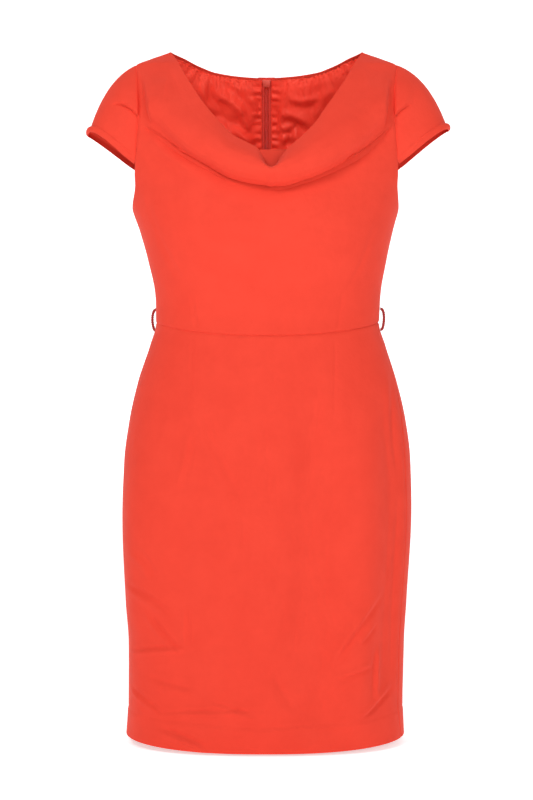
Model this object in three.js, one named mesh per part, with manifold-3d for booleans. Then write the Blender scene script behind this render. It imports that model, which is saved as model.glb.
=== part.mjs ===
// Sheath dress with a cowl neck and cap sleeves, filled out as it is worn. Millimetres, +Z up.
// The front faces -Y and the wearer's left is +X. The origin lies midway between the neck ends of
// the two shoulder seams, where the wearer's shoulders carry the dress.
import * as THREE from "three";
import { mergeVertices } from "three/addons/utils/BufferGeometryUtils.js";
import Module from "manifold-3d";

const wasm = await Module();
wasm.setup();

// Cloth
const clothThickness = 1.6;
const liningThickness = 1.0;
const seamGap = 0.3;
const liningInset = 3.6; // from the outer face of the dress to the outer face of its lining
const liningDrop = 2.5; // from the neck edge of the dress to its lining's

// Heights of the seams and edges
const shoulderEndZ = -17.5;
const underarmZ = -221;
const waistSideZ = -379;
const waistFrontDip = 22;
const waistBackRise = 4;
const hemSideZ = -949;
const hemFrontDip = 9;

// The hollow form: one row for each height. The powers round the front and back halves of a section.
const form = [
  { z: 0, halfWidth: 134, sway: 0, front: 7, back: 46, frontPower: 2, backPower: 1.45 },
  { z: -11, halfWidth: 164, sway: 0, front: 22, back: 52, frontPower: 2.1, backPower: 1.5 },
  { z: -20, halfWidth: 184, sway: 0, front: 33, back: 57, frontPower: 2.2, backPower: 1.6 },
  { z: -40, halfWidth: 197, sway: 0, front: 50, back: 67, frontPower: 2.2, backPower: 1.75 },
  { z: -60, halfWidth: 202, sway: 0, front: 63, back: 76, frontPower: 2.2, backPower: 1.9 },
  { z: -90, halfWidth: 204, sway: 0, front: 79, back: 86, frontPower: 2.2, backPower: 2.1 },
  { z: -120, halfWidth: 206, sway: 0, front: 91, back: 92, frontPower: 2.2, backPower: 2.2 },
  { z: -150, halfWidth: 203, sway: 0, front: 101, back: 96, frontPower: 2.2, backPower: 2.3 },
  { z: -175, halfWidth: 198, sway: 0, front: 108, back: 98, frontPower: 2.2, backPower: 2.3 },
  { z: -195, halfWidth: 191, sway: 0, front: 113, back: 98, frontPower: 2.2, backPower: 2.3 },
  { z: -221, halfWidth: 186, sway: -1, front: 118, back: 98, frontPower: 2.2, backPower: 2.3 },
  { z: -250, halfWidth: 177, sway: 0, front: 121, back: 95, frontPower: 2.2, backPower: 2.25 },
  { z: -290, halfWidth: 167, sway: 1, front: 115, back: 89, frontPower: 2.2, backPower: 2.2 },
  { z: -347, halfWidth: 157, sway: 2, front: 99, back: 83, frontPower: 2.15, backPower: 2.15 },
  { z: -380, halfWidth: 156, sway: 1.5, front: 95, back: 83, frontPower: 2.15, backPower: 2.15 },
  { z: -410, halfWidth: 164, sway: 2, front: 98, back: 88, frontPower: 2.2, backPower: 2.2 },
  { z: -460, halfWidth: 180, sway: 1.5, front: 106, back: 102, frontPower: 2.25, backPower: 2.2 },
  { z: -515, halfWidth: 192.5, sway: 1.5, front: 112, back: 115, frontPower: 2.3, backPower: 2.2 },
  { z: -570, halfWidth: 199.5, sway: 1, front: 115, back: 123, frontPower: 2.3, backPower: 2.2 },
  { z: -641, halfWidth: 201.5, sway: 0.5, front: 117, back: 125, frontPower: 2.35, backPower: 2.25 },
  { z: -767, halfWidth: 196, sway: -0.5, front: 117, back: 119, frontPower: 2.4, backPower: 2.3 },
  { z: -823, halfWidth: 192, sway: 0, front: 115, back: 114, frontPower: 2.4, backPower: 2.3 },
  { z: -900, halfWidth: 191, sway: -1, front: 114, back: 111, frontPower: 2.4, backPower: 2.3 },
  { z: -960, halfWidth: 194, sway: -2, front: 115, back: 111, frontPower: 2.4, backPower: 2.3 },
];

// How far the side seams are turned from the sides, in degrees, as the dress is worn
const seamTurn = [
  { z: -221, degrees: 0 },
  { z: -379, degrees: 7 },
  { z: -460, degrees: 14 },
  { z: -570, degrees: 20 },
  { z: -900, degrees: 20 },
  { z: -960, degrees: 15 },
];

// The armhole, an oval in side view that is widest at its own middle height
const armhole = { middleZ: -140, front: 53, back: 52, upperPower: 1.6, lowerPower: 2.2 };

// The cowl's neck edge from the wearer's right shoulder to the left, with its soft notch at the centre
const cowlEdge = [
  { x: -134, z: 0 },
  { x: -125, z: -14 },
  { x: -114, z: -35 },
  { x: -99, z: -61 },
  { x: -85, z: -83 },
  { x: -70, z: -103 },
  { x: -57, z: -119 },
  { x: -45, z: -132 },
  { x: -34, z: -139 },
  { x: -21, z: -146 },
  { x: -12, z: -152 },
  { x: -6, z: -162 },
  { x: -2, z: -172 },
  { x: 2, z: -177 },
  { x: 7, z: -178.5 },
  { x: 12, z: -175 },
  { x: 17, z: -167 },
  { x: 23, z: -158 },
  { x: 31, z: -149 },
  { x: 47, z: -134 },
  { x: 64, z: -115 },
  { x: 78, z: -93 },
  { x: 94, z: -69 },
  { x: 109, z: -45 },
  { x: 121, z: -22 },
  { x: 134, z: 0 },
];

// The line of the fold that the cowl hangs over, between the two armholes
const cowlFold = [
  { x: -157, z: -118 },
  { x: -114, z: -150 },
  { x: -79, z: -169 },
  { x: -45, z: -187 },
  { x: -12, z: -195 },
  { x: 18, z: -197 },
  { x: 54, z: -187 },
  { x: 88, z: -173 },
  { x: 124, z: -153 },
  { x: 155, z: -128 },
];

// The cowl's section at the centre, from the fold at 0 up to the neck edge at 1
const cowlSection = [
  { up: 0, out: -2, drop: 0 },
  { up: 0.08, out: 4, drop: 5 },
  { up: 0.16, out: 11, drop: 10 },
  { up: 0.24, out: 19, drop: 12.5 },
  { up: 0.33, out: 26, drop: 10 },
  { up: 0.42, out: 30, drop: 5 },
  { up: 0.52, out: 30, drop: 0 },
  { up: 0.64, out: 27, drop: -2 },
  { up: 0.76, out: 23, drop: -2 },
  { up: 0.88, out: 18, drop: -1 },
  { up: 1, out: 13, drop: 0 },
];
const cowl = { lipShare: 0.42, lipSpan: 13, lipMost: 0.6, fadeFrom: 0.04, fadeTo: 0.36 };

// Soft lengthwise folds of the skirt: a trough has a negative depth
const skirtFolds = [
  { degrees: -62, width: 13, depth: 3, top: -520, foot: -960 },
  { degrees: -30, width: 10, depth: -2.5, top: -560, foot: -960 },
  { degrees: -6, width: 12, depth: 2, top: -600, foot: -960 },
  { degrees: 17, width: 9, depth: -5, top: -450, foot: -960 },
  { degrees: 36, width: 10, depth: 4.5, top: -480, foot: -960 },
  { degrees: 56, width: 8, depth: -4, top: -440, foot: -900 },
  { degrees: 120, width: 14, depth: -4, top: -560, foot: -960 },
  { degrees: 149, width: 12, depth: 3.5, top: -520, foot: -960 },
  { degrees: -122, width: 14, depth: 3.5, top: -600, foot: -960 },
  { degrees: -149, width: 12, depth: -4, top: -540, foot: -960 },
];

// The back neck edge, from the shoulder to the centre of the back
const backNeck = [
  { x: 134, z: 0 },
  { x: 116, z: -5 },
  { x: 101, z: -11 },
  { x: 89, z: -15 },
  { x: 73, z: -19.5 },
  { x: 39, z: -23.5 },
  { x: 0, z: -25.5 },
];

// The facing's own neck edge behind the cowl, from the shoulder to the centre
const facingNeck = [
  { x: 134, z: -2 },
  { x: 116, z: -45 },
  { x: 94, z: -90 },
  { x: 66, z: -128 },
  { x: 40, z: -144 },
  { x: 18, z: -148 },
  { x: 0, z: -148 },
];

// Folds of the loose back lining on one side: places as shares across from the zip and up from the waist
const liningFolds = [
  { across: 0.2, up: 0.86, slant: 0.5, width: 0.1, length: 0.34, depth: 6 },
  { across: 0.42, up: 0.72, slant: -0.7, width: 0.09, length: 0.4, depth: 7 },
  { across: 0.68, up: 0.84, slant: 0.4, width: 0.1, length: 0.3, depth: 5 },
  { across: 0.3, up: 0.45, slant: 0.3, width: 0.12, length: 0.4, depth: 4 },
];

// Cap sleeve
const sleeve = {
  endZ: -160,
  leftTip: { x: 254, z: -106 },
  rightTip: { x: 248, z: -112 },
  hemEnd: { x: 182, z: -163 },
  hemDepth: 47,
  hemBow: 5.5,
  bulge: { x: 10, y: 8, z: 30 },
  tuckAt: 0.27,
  tuckStep: 3.5,
  tuckWidth: 0.035,
  hemBand: 9,
  hemBandLift: 3.4,
};

// Zip
const zip = {
  topZ: -24,
  footZ: -560,
  tapeWidth: 9,
  tapeThickness: 0.6,
  chainWidth: 4.4,
  chainThickness: 1.8,
  liningEdge: 7,
  chainDrop: 14,
  sliderDrop: 6,
  sliderWidth: 11.9,
  sliderHeight: 10,
  sliderThickness: 3.2,
};
const pullTab = {
  ringRadius: 2.3,
  wire: 0.9,
  width: 4.6,
  length: 21,
  thickness: 0.9,
  holeWidth: 1.9,
  standOff: 1.6,
};
const beltLoop = { topZ: -360, footZ: -389, out: 6.3, thickness: 1.8, seat: 0.7 };

const colours = { crepe: 0xf4472f, satin: 0xe63c28, zipTape: 0xd8392a, zipMetal: 0xd83a28 };
function material(colour, roughness, metalness = 0) {
  return new THREE.MeshStandardMaterial({ color: colour, roughness, metalness });
}
const crepe = material(colours.crepe, 0.75);
const satin = material(colours.satin, 0.35);
const tapeCloth = material(colours.zipTape, 0.8);
const paintedMetal = material(colours.zipMetal, 0.4, 0.2);

const halfTurn = Math.PI;
const quarterTurn = Math.PI / 2;
const radians = (degrees) => (degrees * Math.PI) / 180;
const mix = (a, b, share) => a + (b - a) * share;
const clamp = (value, low, high) => Math.min(high, Math.max(low, value));
const smooth = (low, high, value) => {
  const share = clamp((value - low) / (high - low), 0, 1);
  return share * share * (3 - 2 * share);
};
const bell = (distance, width) => Math.exp(-((distance / width) ** 2));
const steps = (count, low = 0, high = 1) =>
  Array.from({ length: count + 1 }, (_, i) => mix(low, high, i / count));

// A smooth curve through a table's rows that never overshoots them
function curve(table, from, to) {
  const rows = [...table].sort((a, b) => a[from] - b[from]);
  const x = rows.map((row) => row[from]);
  const y = rows.map((row) => row[to]);
  const secant = x.slice(1).map((at, i) => (y[i + 1] - y[i]) / (at - x[i]));
  const slope = x.map((_, i) => {
    if (i === 0 || i === x.length - 1) return secant[Math.min(i, secant.length - 1)];
    const before = secant[i - 1];
    const after = secant[i];
    return before * after > 0 ? (2 * before * after) / (before + after) : 0;
  });
  return (at) => {
    const value = clamp(at, x[0], x[x.length - 1]);
    let i = 0;
    while (i < x.length - 2 && value > x[i + 1]) i++;
    const span = x[i + 1] - x[i];
    const s = (value - x[i]) / span;
    return (
      y[i] * (1 + 2 * s) * (1 - s) ** 2 +
      slope[i] * span * s * (1 - s) ** 2 +
      y[i + 1] * s * s * (3 - 2 * s) +
      slope[i + 1] * span * s * s * (s - 1)
    );
  };
}

const formCurves = Object.fromEntries(
  Object.keys(form[0])
    .filter((name) => name !== "z")
    .map((name) => [name, curve(form, "z", name)]),
);
const turnAt = curve(seamTurn, "z", "degrees");

// A point of the form: the angle is 0 at the centre front and grows towards +X
function formPoint(angle, z) {
  const sine = Math.sin(angle);
  const cosine = Math.cos(angle);
  const atFront = cosine >= 0;
  const power = (atFront ? formCurves.frontPower : formCurves.backPower)(z);
  const depth = atFront ? -formCurves.front(z) : formCurves.back(z);
  const x = formCurves.halfWidth(z) * Math.sign(sine) * Math.abs(sine) ** (2 / power);
  return new THREE.Vector3(x + formCurves.sway(z), depth * Math.abs(cosine) ** (2 / power), z);
}

function formNormal(angle, z) {
  const turn = 0.01;
  const rise = 1;
  const around = formPoint(angle + turn, z).sub(formPoint(angle - turn, z));
  const up = formPoint(angle, z + rise).sub(formPoint(angle, z - rise));
  return around.cross(up).normalize();
}

// The angle at which a section is at a distance across, or at a depth from the side
function angleAcross(x, z, backSide = 0) {
  const power = (backSide ? formCurves.backPower : formCurves.frontPower)(z);
  const across = (x - formCurves.sway(z)) / formCurves.halfWidth(z);
  const angle = Math.sign(across) * Math.asin(clamp(Math.abs(across), 0, 1) ** (power / 2));
  return backSide ? backSide * halfTurn - angle : angle;
}
function angleAtDepth(depth, z, atBack = false) {
  const power = (atBack ? formCurves.backPower : formCurves.frontPower)(z);
  const most = (atBack ? formCurves.back : formCurves.front)(z);
  const angle = Math.acos(clamp(depth / most, 0, 1) ** (power / 2));
  return atBack ? halfTurn - angle : angle;
}

const waistZ = (angle) =>
  waistSideZ - waistFrontDip * Math.max(0, Math.cos(angle)) ** 1.5 +
  waistBackRise * Math.max(0, -Math.cos(angle)) ** 1.5;
const hemZ = (angle) => hemSideZ - hemFrontDip * Math.max(0, Math.cos(angle)) ** 1.5;
const seamAngle = (z, side) => side * quarterTurn - radians(turnAt(z));

// A point of the armhole's edge: from 0 at the underarm to 1 at the shoulder
function armholeEdge(share, atBack) {
  const turn = mix(-quarterTurn, quarterTurn, share);
  const upper = turn > 0;
  const power = upper ? armhole.upperPower : armhole.lowerPower;
  const reach = upper ? shoulderEndZ - armhole.middleZ : armhole.middleZ - underarmZ;
  const z = armhole.middleZ + Math.sign(turn) * reach * Math.abs(Math.sin(turn)) ** (2 / power);
  const most = atBack ? armhole.back : armhole.front;
  const depth = Math.max(seamGap / 2, most * Math.abs(Math.cos(turn)) ** (2 / power));
  return { angle: angleAtDepth(depth, z, atBack), z };
}

// How far up a bodice panel its underarm is, and the lower end of its sleeve
const underarmShare = 0.4;
const onArmhole = (share) => mix(underarmShare, 1, share);
const sleeveUp = (() => {
  const reach = (armhole.middleZ - sleeve.endZ) / (armhole.middleZ - underarmZ);
  const turn = Math.asin(reach ** (armhole.lowerPower / 2));
  return 0.5 - turn / halfTurn;
})();
const sleeveShare = onArmhole(sleeveUp);

// The side of a bodice panel: its side seam, then its armhole, up to the shoulder
function bodiceSide(share, side, atBack) {
  if (share <= underarmShare) {
    const z = mix(waistSideZ + seamGap / 2, underarmZ, share / underarmShare);
    const gap = angleAtDepth(seamGap / 2, z, atBack) - quarterTurn;
    return [seamAngle(z, side) + side * gap, z];
  }
  const edge = armholeEdge((share - underarmShare) / (1 - underarmShare), atBack);
  return [side * edge.angle, edge.z];
}

// Lengths round a section from the centre of a side, by which places are evened out along the cloth
const sectionTurns = steps(48, 0, 0.8 * halfTurn);
function lengthsRound(centre, z) {
  const points = sectionTurns.map((turn) => formPoint(centre + turn, z));
  const lengths = [0];
  points.slice(1).forEach((point, i) => lengths.push(lengths[i] + point.distanceTo(points[i])));
  return lengths;
}
function between(value, from, to) {
  let i = 0;
  while (i < from.length - 2 && value > from[i + 1]) i++;
  return mix(to[i], to[i + 1], (value - from[i]) / (from[i + 1] - from[i]));
}
function lengthTo(angle, z, centre) {
  const turn = angle - centre;
  return Math.sign(turn) * between(Math.abs(turn), sectionTurns, lengthsRound(centre, z));
}
function angleAt(length, z, centre) {
  const turn = between(Math.abs(length), lengthsRound(centre, z), sectionTurns);
  return centre + Math.sign(length) * turn;
}

// A four-sided patch of the form between its four edges, which give angles and heights.
// Away from its sides the rows are evenly spaced, so that they leave an armhole's foot steeply.
const evenWithin = 0.085;
function patch({ left, right, bottom, top, centre = 0 }) {
  const laid = (edge) => (share) => {
    const [angle, z] = edge(share);
    return [lengthTo(angle, z, centre), z];
  };
  const [start, end, foot, head] = [left, right, bottom, top].map(laid);
  return (s, t) => {
    const level = [0, 1].map((k) => mix(start(t)[k], end(t)[k], s));
    const lowZ = mix(start(0)[1], end(0)[1], s);
    const highZ = mix(start(1)[1], end(1)[1], s);
    level[1] = mix(mix(lowZ, highZ, t), level[1], Math.exp(-Math.min(s, 1 - s) / evenWithin));
    const height = (level[1] - lowZ) / (highZ - lowZ);
    const bow = (edge, k) => edge(s)[k] - mix(edge(0)[k], edge(1)[k], s);
    const [length, z] = level.map((value, k) => value + mix(bow(foot, k), bow(head, k), height));
    return [angleAt(length, z, centre), z];
  };
}
const gridOf = (place, across, up) => up.map((t) => across.map((s) => place(s, t)));

// Normals of a grid of points, from each point's neighbours
function gridNormals(points) {
  const rows = points.length;
  const columns = points[0].length;
  return points.map((row, i) =>
    row.map((_, j) => {
      const along = row[Math.min(j + 1, columns - 1)].clone().sub(row[Math.max(j - 1, 0)]);
      const up = points[Math.min(i + 1, rows - 1)][j].clone().sub(points[Math.max(i - 1, 0)][j]);
      return along.cross(up).normalize();
    }),
  );
}

// One closed wall of cloth: the outer points, and the same points moved along their normals
function wall(name, outer, normals, thickness, finish, outerLift = null) {
  const rows = outer.length;
  const columns = outer[0].length;
  const positions = [];
  const index = [];
  const add = (point) => positions.push(point.x, point.y, point.z);
  outer.forEach((row, i) =>
    row.forEach((point, j) => {
      const lift = outerLift ? outerLift[i][j] : 0;
      add(point.clone().addScaledVector(normals[i][j], lift));
    }),
  );
  outer.forEach((row, i) =>
    row.forEach((point, j) => add(point.clone().addScaledVector(normals[i][j], -thickness))),
  );
  const at = (i, j, inner) => (inner ? rows * columns : 0) + i * columns + j;
  const corner = (i) => new THREE.Vector3().fromArray(positions, 3 * i);
  const apart = (a, b) => corner(a).distanceTo(corner(b));
  const quad = (a, b, c, d) => {
    index.push(...(apart(a, c) <= apart(b, d) ? [a, b, c, a, c, d] : [a, b, d, b, c, d]));
  };
  for (let i = 0; i < rows - 1; i++)
    for (let j = 0; j < columns - 1; j++) {
      quad(at(i, j), at(i, j + 1), at(i + 1, j + 1), at(i + 1, j));
      quad(at(i, j, 1), at(i + 1, j, 1), at(i + 1, j + 1, 1), at(i, j + 1, 1));
    }
  for (let j = 0; j < columns - 1; j++) {
    quad(at(0, j, 1), at(0, j + 1, 1), at(0, j + 1), at(0, j));
    quad(at(rows - 1, j), at(rows - 1, j + 1), at(rows - 1, j + 1, 1), at(rows - 1, j, 1));
  }
  for (let i = 0; i < rows - 1; i++) {
    quad(at(i, 0), at(i + 1, 0), at(i + 1, 0, 1), at(i, 0, 1));
    const last = columns - 1;
    quad(at(i + 1, last), at(i, last), at(i, last, 1), at(i + 1, last, 1));
  }
  const geometry = new THREE.BufferGeometry();
  geometry.setAttribute("position", new THREE.Float32BufferAttribute(positions, 3));
  geometry.setIndex(index);
  const mesh = new THREE.Mesh(geometry, finish);
  mesh.name = name;
  return mesh;
}

// A panel of the form. Where it is drawn away from the form its own normals count, and elsewhere
// it takes the form's, so that neighbours stay parallel; at the waist they are level.
function panel(name, places, { shape, drawn, waistRow, thickness, finish }) {
  const outer = places.map((row, i) => row.map(([angle, z], j) => shape(angle, z, i, j)));
  const normals = gridNormals(outer).map((row, i) =>
    row.map((own, j) => {
      const normal = formNormal(...places[i][j]).lerp(own, drawn ? drawn(i, j) : 0);
      return (i === waistRow ? normal.setZ(0) : normal).normalize();
    }),
  );
  return wall(name, outer, normals, thickness, finish);
}

// The length along a table's points, as a share of the whole, and the place at a share
function route(table) {
  const lengths = [0];
  table.slice(1).forEach((row, i) => {
    lengths.push(lengths[i] + Math.hypot(row.x - table[i].x, row.z - table[i].z));
  });
  const whole = lengths[lengths.length - 1];
  const rows = table.map((row, i) => ({ ...row, share: lengths[i] / whole }));
  const x = curve(rows, "share", "x");
  const z = curve(rows, "share", "z");
  return (share) => ({ x: x(share), z: z(share) });
}

// The top of a bodice panel: a shoulder seam at each end that it has, and a neck edge between
const shoulderShare = 0.09;
function shoulderPlace(share, side, atBack) {
  const z = mix(shoulderEndZ, 0, share);
  return [side * angleAtDepth(seamGap / 2, z, atBack), z];
}
function frontTop(edge, share) {
  if (share < shoulderShare) return shoulderPlace(share / shoulderShare, -1, false);
  if (share > 1 - shoulderShare) return shoulderPlace((1 - share) / shoulderShare, 1, false);
  const place = edge((share - shoulderShare) / (1 - 2 * shoulderShare));
  const most = angleAtDepth(seamGap / 2, place.z, false);
  return [clamp(angleAcross(place.x, place.z), -most, most), place.z];
}

const foldShare = onArmhole(0.615);
const sideSeamRows = [0, 0.19, 0.38, 0.56, 0.75, 0.9].map((share) => share * underarmShare);
const rowsToFold = [
  ...sideSeamRows,
  ...[0, 0.05, 0.115, 0.21, 0.32].map(onArmhole),
  sleeveShare,
  ...[0.51, 0.57].map(onArmhole),
  foldShare,
];
const cowlRows = cowlSection.map(({ up }) => up).slice(1);
const frontRows = [...rowsToFold, ...cowlRows.map((up) => mix(foldShare, 1, up))];
const backRows = [
  ...sideSeamRows,
  ...[0, 0.05, 0.115, 0.21, 0.32].map(onArmhole),
  sleeveShare,
  ...[0.54, 0.635, 0.73, 0.83, 0.92, 1].map(onArmhole),
];
const backColumns = [0, 0.06, 0.12, ...steps(9, 2 * shoulderShare, 1)];
const frontColumns = [
  0, 0.03, 0.06, ...steps(9, shoulderShare, 0.42), ...steps(8, 0.44, 0.56).slice(0, -1),
  ...steps(8, 0.58, 1 - shoulderShare), 0.94, 0.97, 1,
];

// Bodice front: up to the fold, and from there over the cowl's lip to the neck edge
const cowlOut = curve(cowlSection, "up", "out");
const cowlDrop = curve(cowlSection, "up", "drop");
const cowlFade = (s) => smooth(cowl.fadeFrom, cowl.fadeTo, Math.min(s, 1 - s));
function bodiceFront() {
  const sideUp = (low, high, side) => (t) => bodiceSide(mix(low, high, t), side, false);
  const waist = (s) => {
    const angle = mix(bodiceSide(0, -1, false)[0], bodiceSide(0, 1, false)[0], s);
    return [angle, waistZ(angle) + seamGap / 2];
  };
  const [foldAngle, foldEndZ] = bodiceSide(foldShare, 1, false);
  const foldEnd = formPoint(foldAngle, foldEndZ).x;
  const foldRoute = route([
    { x: -foldEnd, z: foldEndZ },
    ...cowlFold,
    { x: foldEnd, z: foldEndZ },
  ]);
  const fold = (s) => {
    const { x, z } = foldRoute(s);
    return [angleAcross(x, z), z];
  };
  const neck = route(cowlEdge);
  const top = (s) => frontTop(neck, s);
  const below = patch({
    left: sideUp(0, foldShare, -1), right: sideUp(0, foldShare, 1), bottom: waist, top: fold,
  });
  const above = patch({
    left: sideUp(foldShare, 1, -1), right: sideUp(foldShare, 1, 1), bottom: fold, top,
  });
  // Near the centre the lip takes the lowest part of the cowl, however high its edge is
  const rise = (s, up) => {
    const height = top(s)[1] - fold(s)[1];
    const lip = Math.min(cowl.lipSpan / height, cowl.lipMost);
    const drawn = up < cowl.lipShare
      ? (lip * up) / cowl.lipShare
      : mix(lip, 1, (up - cowl.lipShare) / (1 - cowl.lipShare));
    return mix(up, drawn, cowlFade(s));
  };
  const places = [
    ...gridOf(below, frontColumns, rowsToFold.map((t) => t / foldShare)),
    ...cowlRows.map((up) => frontColumns.map((s) => above(s, rise(s, up)))),
  ];
  const foldRow = rowsToFold.length - 1;
  const drawn = (i, j) => (i < foldRow ? 0 : cowlFade(frontColumns[j]));
  const shape = (angle, z, i, j) => {
    const point = formPoint(angle, z);
    const up = i <= foldRow ? 0 : cowlRows[i - foldRow - 1];
    const level = formNormal(angle, z).setZ(0).normalize();
    point.addScaledVector(level, drawn(i, j) * cowlOut(up));
    point.z -= drawn(i, j) * cowlDrop(up);
    return point;
  };
  return panel("bodice_front", places, {
    shape, drawn, waistRow: 0, thickness: clothThickness, finish: crepe,
  });
}

// Bodice back: one half, from the side and shoulder to the zip
const zipEdgeGap = (z) => 0.4 + 0.6 * bell(z - (zip.topZ - zip.sliderDrop), 9);
function backPlaces(side, rows, columns, neckDrop, centreEdge) {
  const edge = route(backNeck);
  const acrossBack = (x, z) => angleAcross(side * Math.max(x, centreEdge(z)), z, side);
  const top = (s) => {
    if (s <= 2 * shoulderShare) {
      const [angle, z] = shoulderPlace(s / (2 * shoulderShare), side, true);
      return [angle, z - neckDrop];
    }
    const place = edge((s - 2 * shoulderShare) / (1 - 2 * shoulderShare));
    const z = place.z - neckDrop;
    const least = angleAtDepth(seamGap / 2, z, true);
    return [side * Math.max(least, side * acrossBack(place.x, z)), z];
  };
  const sideEdge = (t) => {
    const [angle, z] = bodiceSide(t, side, true);
    return [angle, z - neckDrop * t];
  };
  const bottom = (s) => {
    const angle = mix(sideEdge(0)[0], acrossBack(0, waistSideZ + waistBackRise), s);
    return [angle, waistZ(angle) + seamGap / 2];
  };
  const middle = (t) => {
    const z = mix(waistZ(halfTurn) + seamGap / 2, top(1)[1], t);
    return [acrossBack(0, z), z];
  };
  const half = patch({ left: sideEdge, right: middle, bottom, top, centre: side * halfTurn });
  const places = gridOf(half, columns, rows);
  return side > 0 ? places : places.map((row) => [...row].reverse());
}

function bodiceBack(name, side) {
  const places = backPlaces(side, backRows, backColumns, 0, zipEdgeGap);
  return panel(name, places, {
    shape: formPoint, waistRow: 0, thickness: clothThickness, finish: crepe,
  });
}

// Skirt
function skirtShape(angle, z) {
  const point = formPoint(angle, z);
  const normal = formNormal(angle, z);
  const lift = skirtFolds.reduce((sum, fold) => {
    const away = ((angle * 180) / Math.PI - fold.degrees + 540) % 360 - 180;
    const fade = smooth(fold.top, fold.top - 120, z) * (1 - smooth(fold.foot + 60, fold.foot, z));
    return sum + fold.depth * bell(away, fold.width) * fade;
  }, 0);
  return point.addScaledVector(normal, lift);
}

const skirtRows = steps(17);
function skirtPanel(name, fromAngle, toAngle, columns) {
  const places = skirtRows.map((t) =>
    columns.map((s) => {
      const heightOf = (angle) => mix(hemZ(angle), waistZ(angle) - seamGap / 2, t);
      const guess = mix(fromAngle(hemSideZ), toAngle(hemSideZ), s);
      const z = heightOf(mix(fromAngle(heightOf(guess)), toAngle(heightOf(guess)), s));
      const angle = mix(fromAngle(z), toAngle(z), s);
      return [angle, heightOf(angle)];
    }),
  );
  return panel(name, places, {
    shape: skirtShape, waistRow: places.length - 1, thickness: clothThickness, finish: crepe,
  });
}
function sideSeam(side, towardsBack) {
  return (z) => {
    const half = formCurves.halfWidth(z);
    return seamAngle(z, side) + (towardsBack ? side : -side) * (seamGap / 2 / half) * 1.6;
  };
}
function centreBack(side) {
  const gapAt = (z) => (z > zip.footZ ? zipEdgeGap(z) : seamGap / 2);
  return (z) => angleAcross(side * gapAt(z), z, side);
}

// Lining: the form again, further in, with loose folds at the back
function liningAt(angle, z, inwards) {
  const normal = formNormal(angle, z);
  return formPoint(angle, z).addScaledVector(normal, -liningInset - inwards);
}
function backLining(name, side) {
  const places = backPlaces(side, backRows, backColumns, liningDrop, () => zip.liningEdge);
  const outer = places.map((row, i) =>
    row.map(([angle, z], j) => {
      const s = side > 0 ? backColumns[j] : backColumns[backColumns.length - 1 - j];
      const fromZip = 1 - s;
      const inwards = liningFolds.reduce((sum, fold) => {
        const across = fromZip - fold.across;
        const up = backRows[i] - fold.up;
        const off = up - fold.slant * across;
        return sum + fold.depth * bell(off, fold.width) * bell(across, fold.length);
      }, 0);
      const held = smooth(0, 0.12, fromZip) * smooth(0, 0.15, s) * smooth(0, 0.12, backRows[i]);
      const atNeck = 1 - smooth(0.93, 1, backRows[i]);
      return liningAt(angle, z, inwards * held * atNeck);
    }),
  );
  const normals = places.map((row) => row.map(([angle, z]) => formNormal(angle, z)));
  return wall(name, outer, normals, liningThickness, satin);
}

// Front facing: the inner layer behind the cowl, from its own neck edge to below the underarm
const facingUnderarm = 0.13;
const facingLowest = 0.78;
const facingRows = [
  0,
  ...[0, 0.05, 0.115, 0.21, 0.32, sleeveUp, 0.52, 0.615, 0.71, 0.81, 0.9, 1].map((up) =>
    mix(facingUnderarm, 1, up)),
];
const facingColumns = [0, 0.045, shoulderShare, ...steps(14, 0.13, 0.87), 0.91, 0.955, 1];
function frontFacing() {
  const mirrored = [
    ...facingNeck.map(({ x, z }) => ({ x: -x, z })),
    ...[...facingNeck].reverse().slice(1),
  ];
  const edge = route(mirrored);
  const shareAt = (t) => (t < facingUnderarm
    ? underarmShare * mix(facingLowest, 1, t / facingUnderarm)
    : onArmhole((t - facingUnderarm) / (1 - facingUnderarm)));
  const shiftDown = ([angle, z], drop) => [angle, z - drop];
  const left = (t) => shiftDown(bodiceSide(shareAt(t), -1, false), liningDrop * t);
  const right = (t) => shiftDown(bodiceSide(shareAt(t), 1, false), liningDrop * t);
  const bottom = (s) => [mix(left(0)[0], right(0)[0], s), left(0)[1]];
  const top = (s) => shiftDown(frontTop(edge, s), liningDrop);
  const places = gridOf(patch({ left, right, bottom, top }), facingColumns, facingRows);
  const outer = places.map((row) => row.map(([angle, z]) => liningAt(angle, z, 0)));
  const normals = places.map((row) => row.map(([angle, z]) => formNormal(angle, z)));
  return wall("front_facing", outer, normals, liningThickness, crepe);
}

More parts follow.
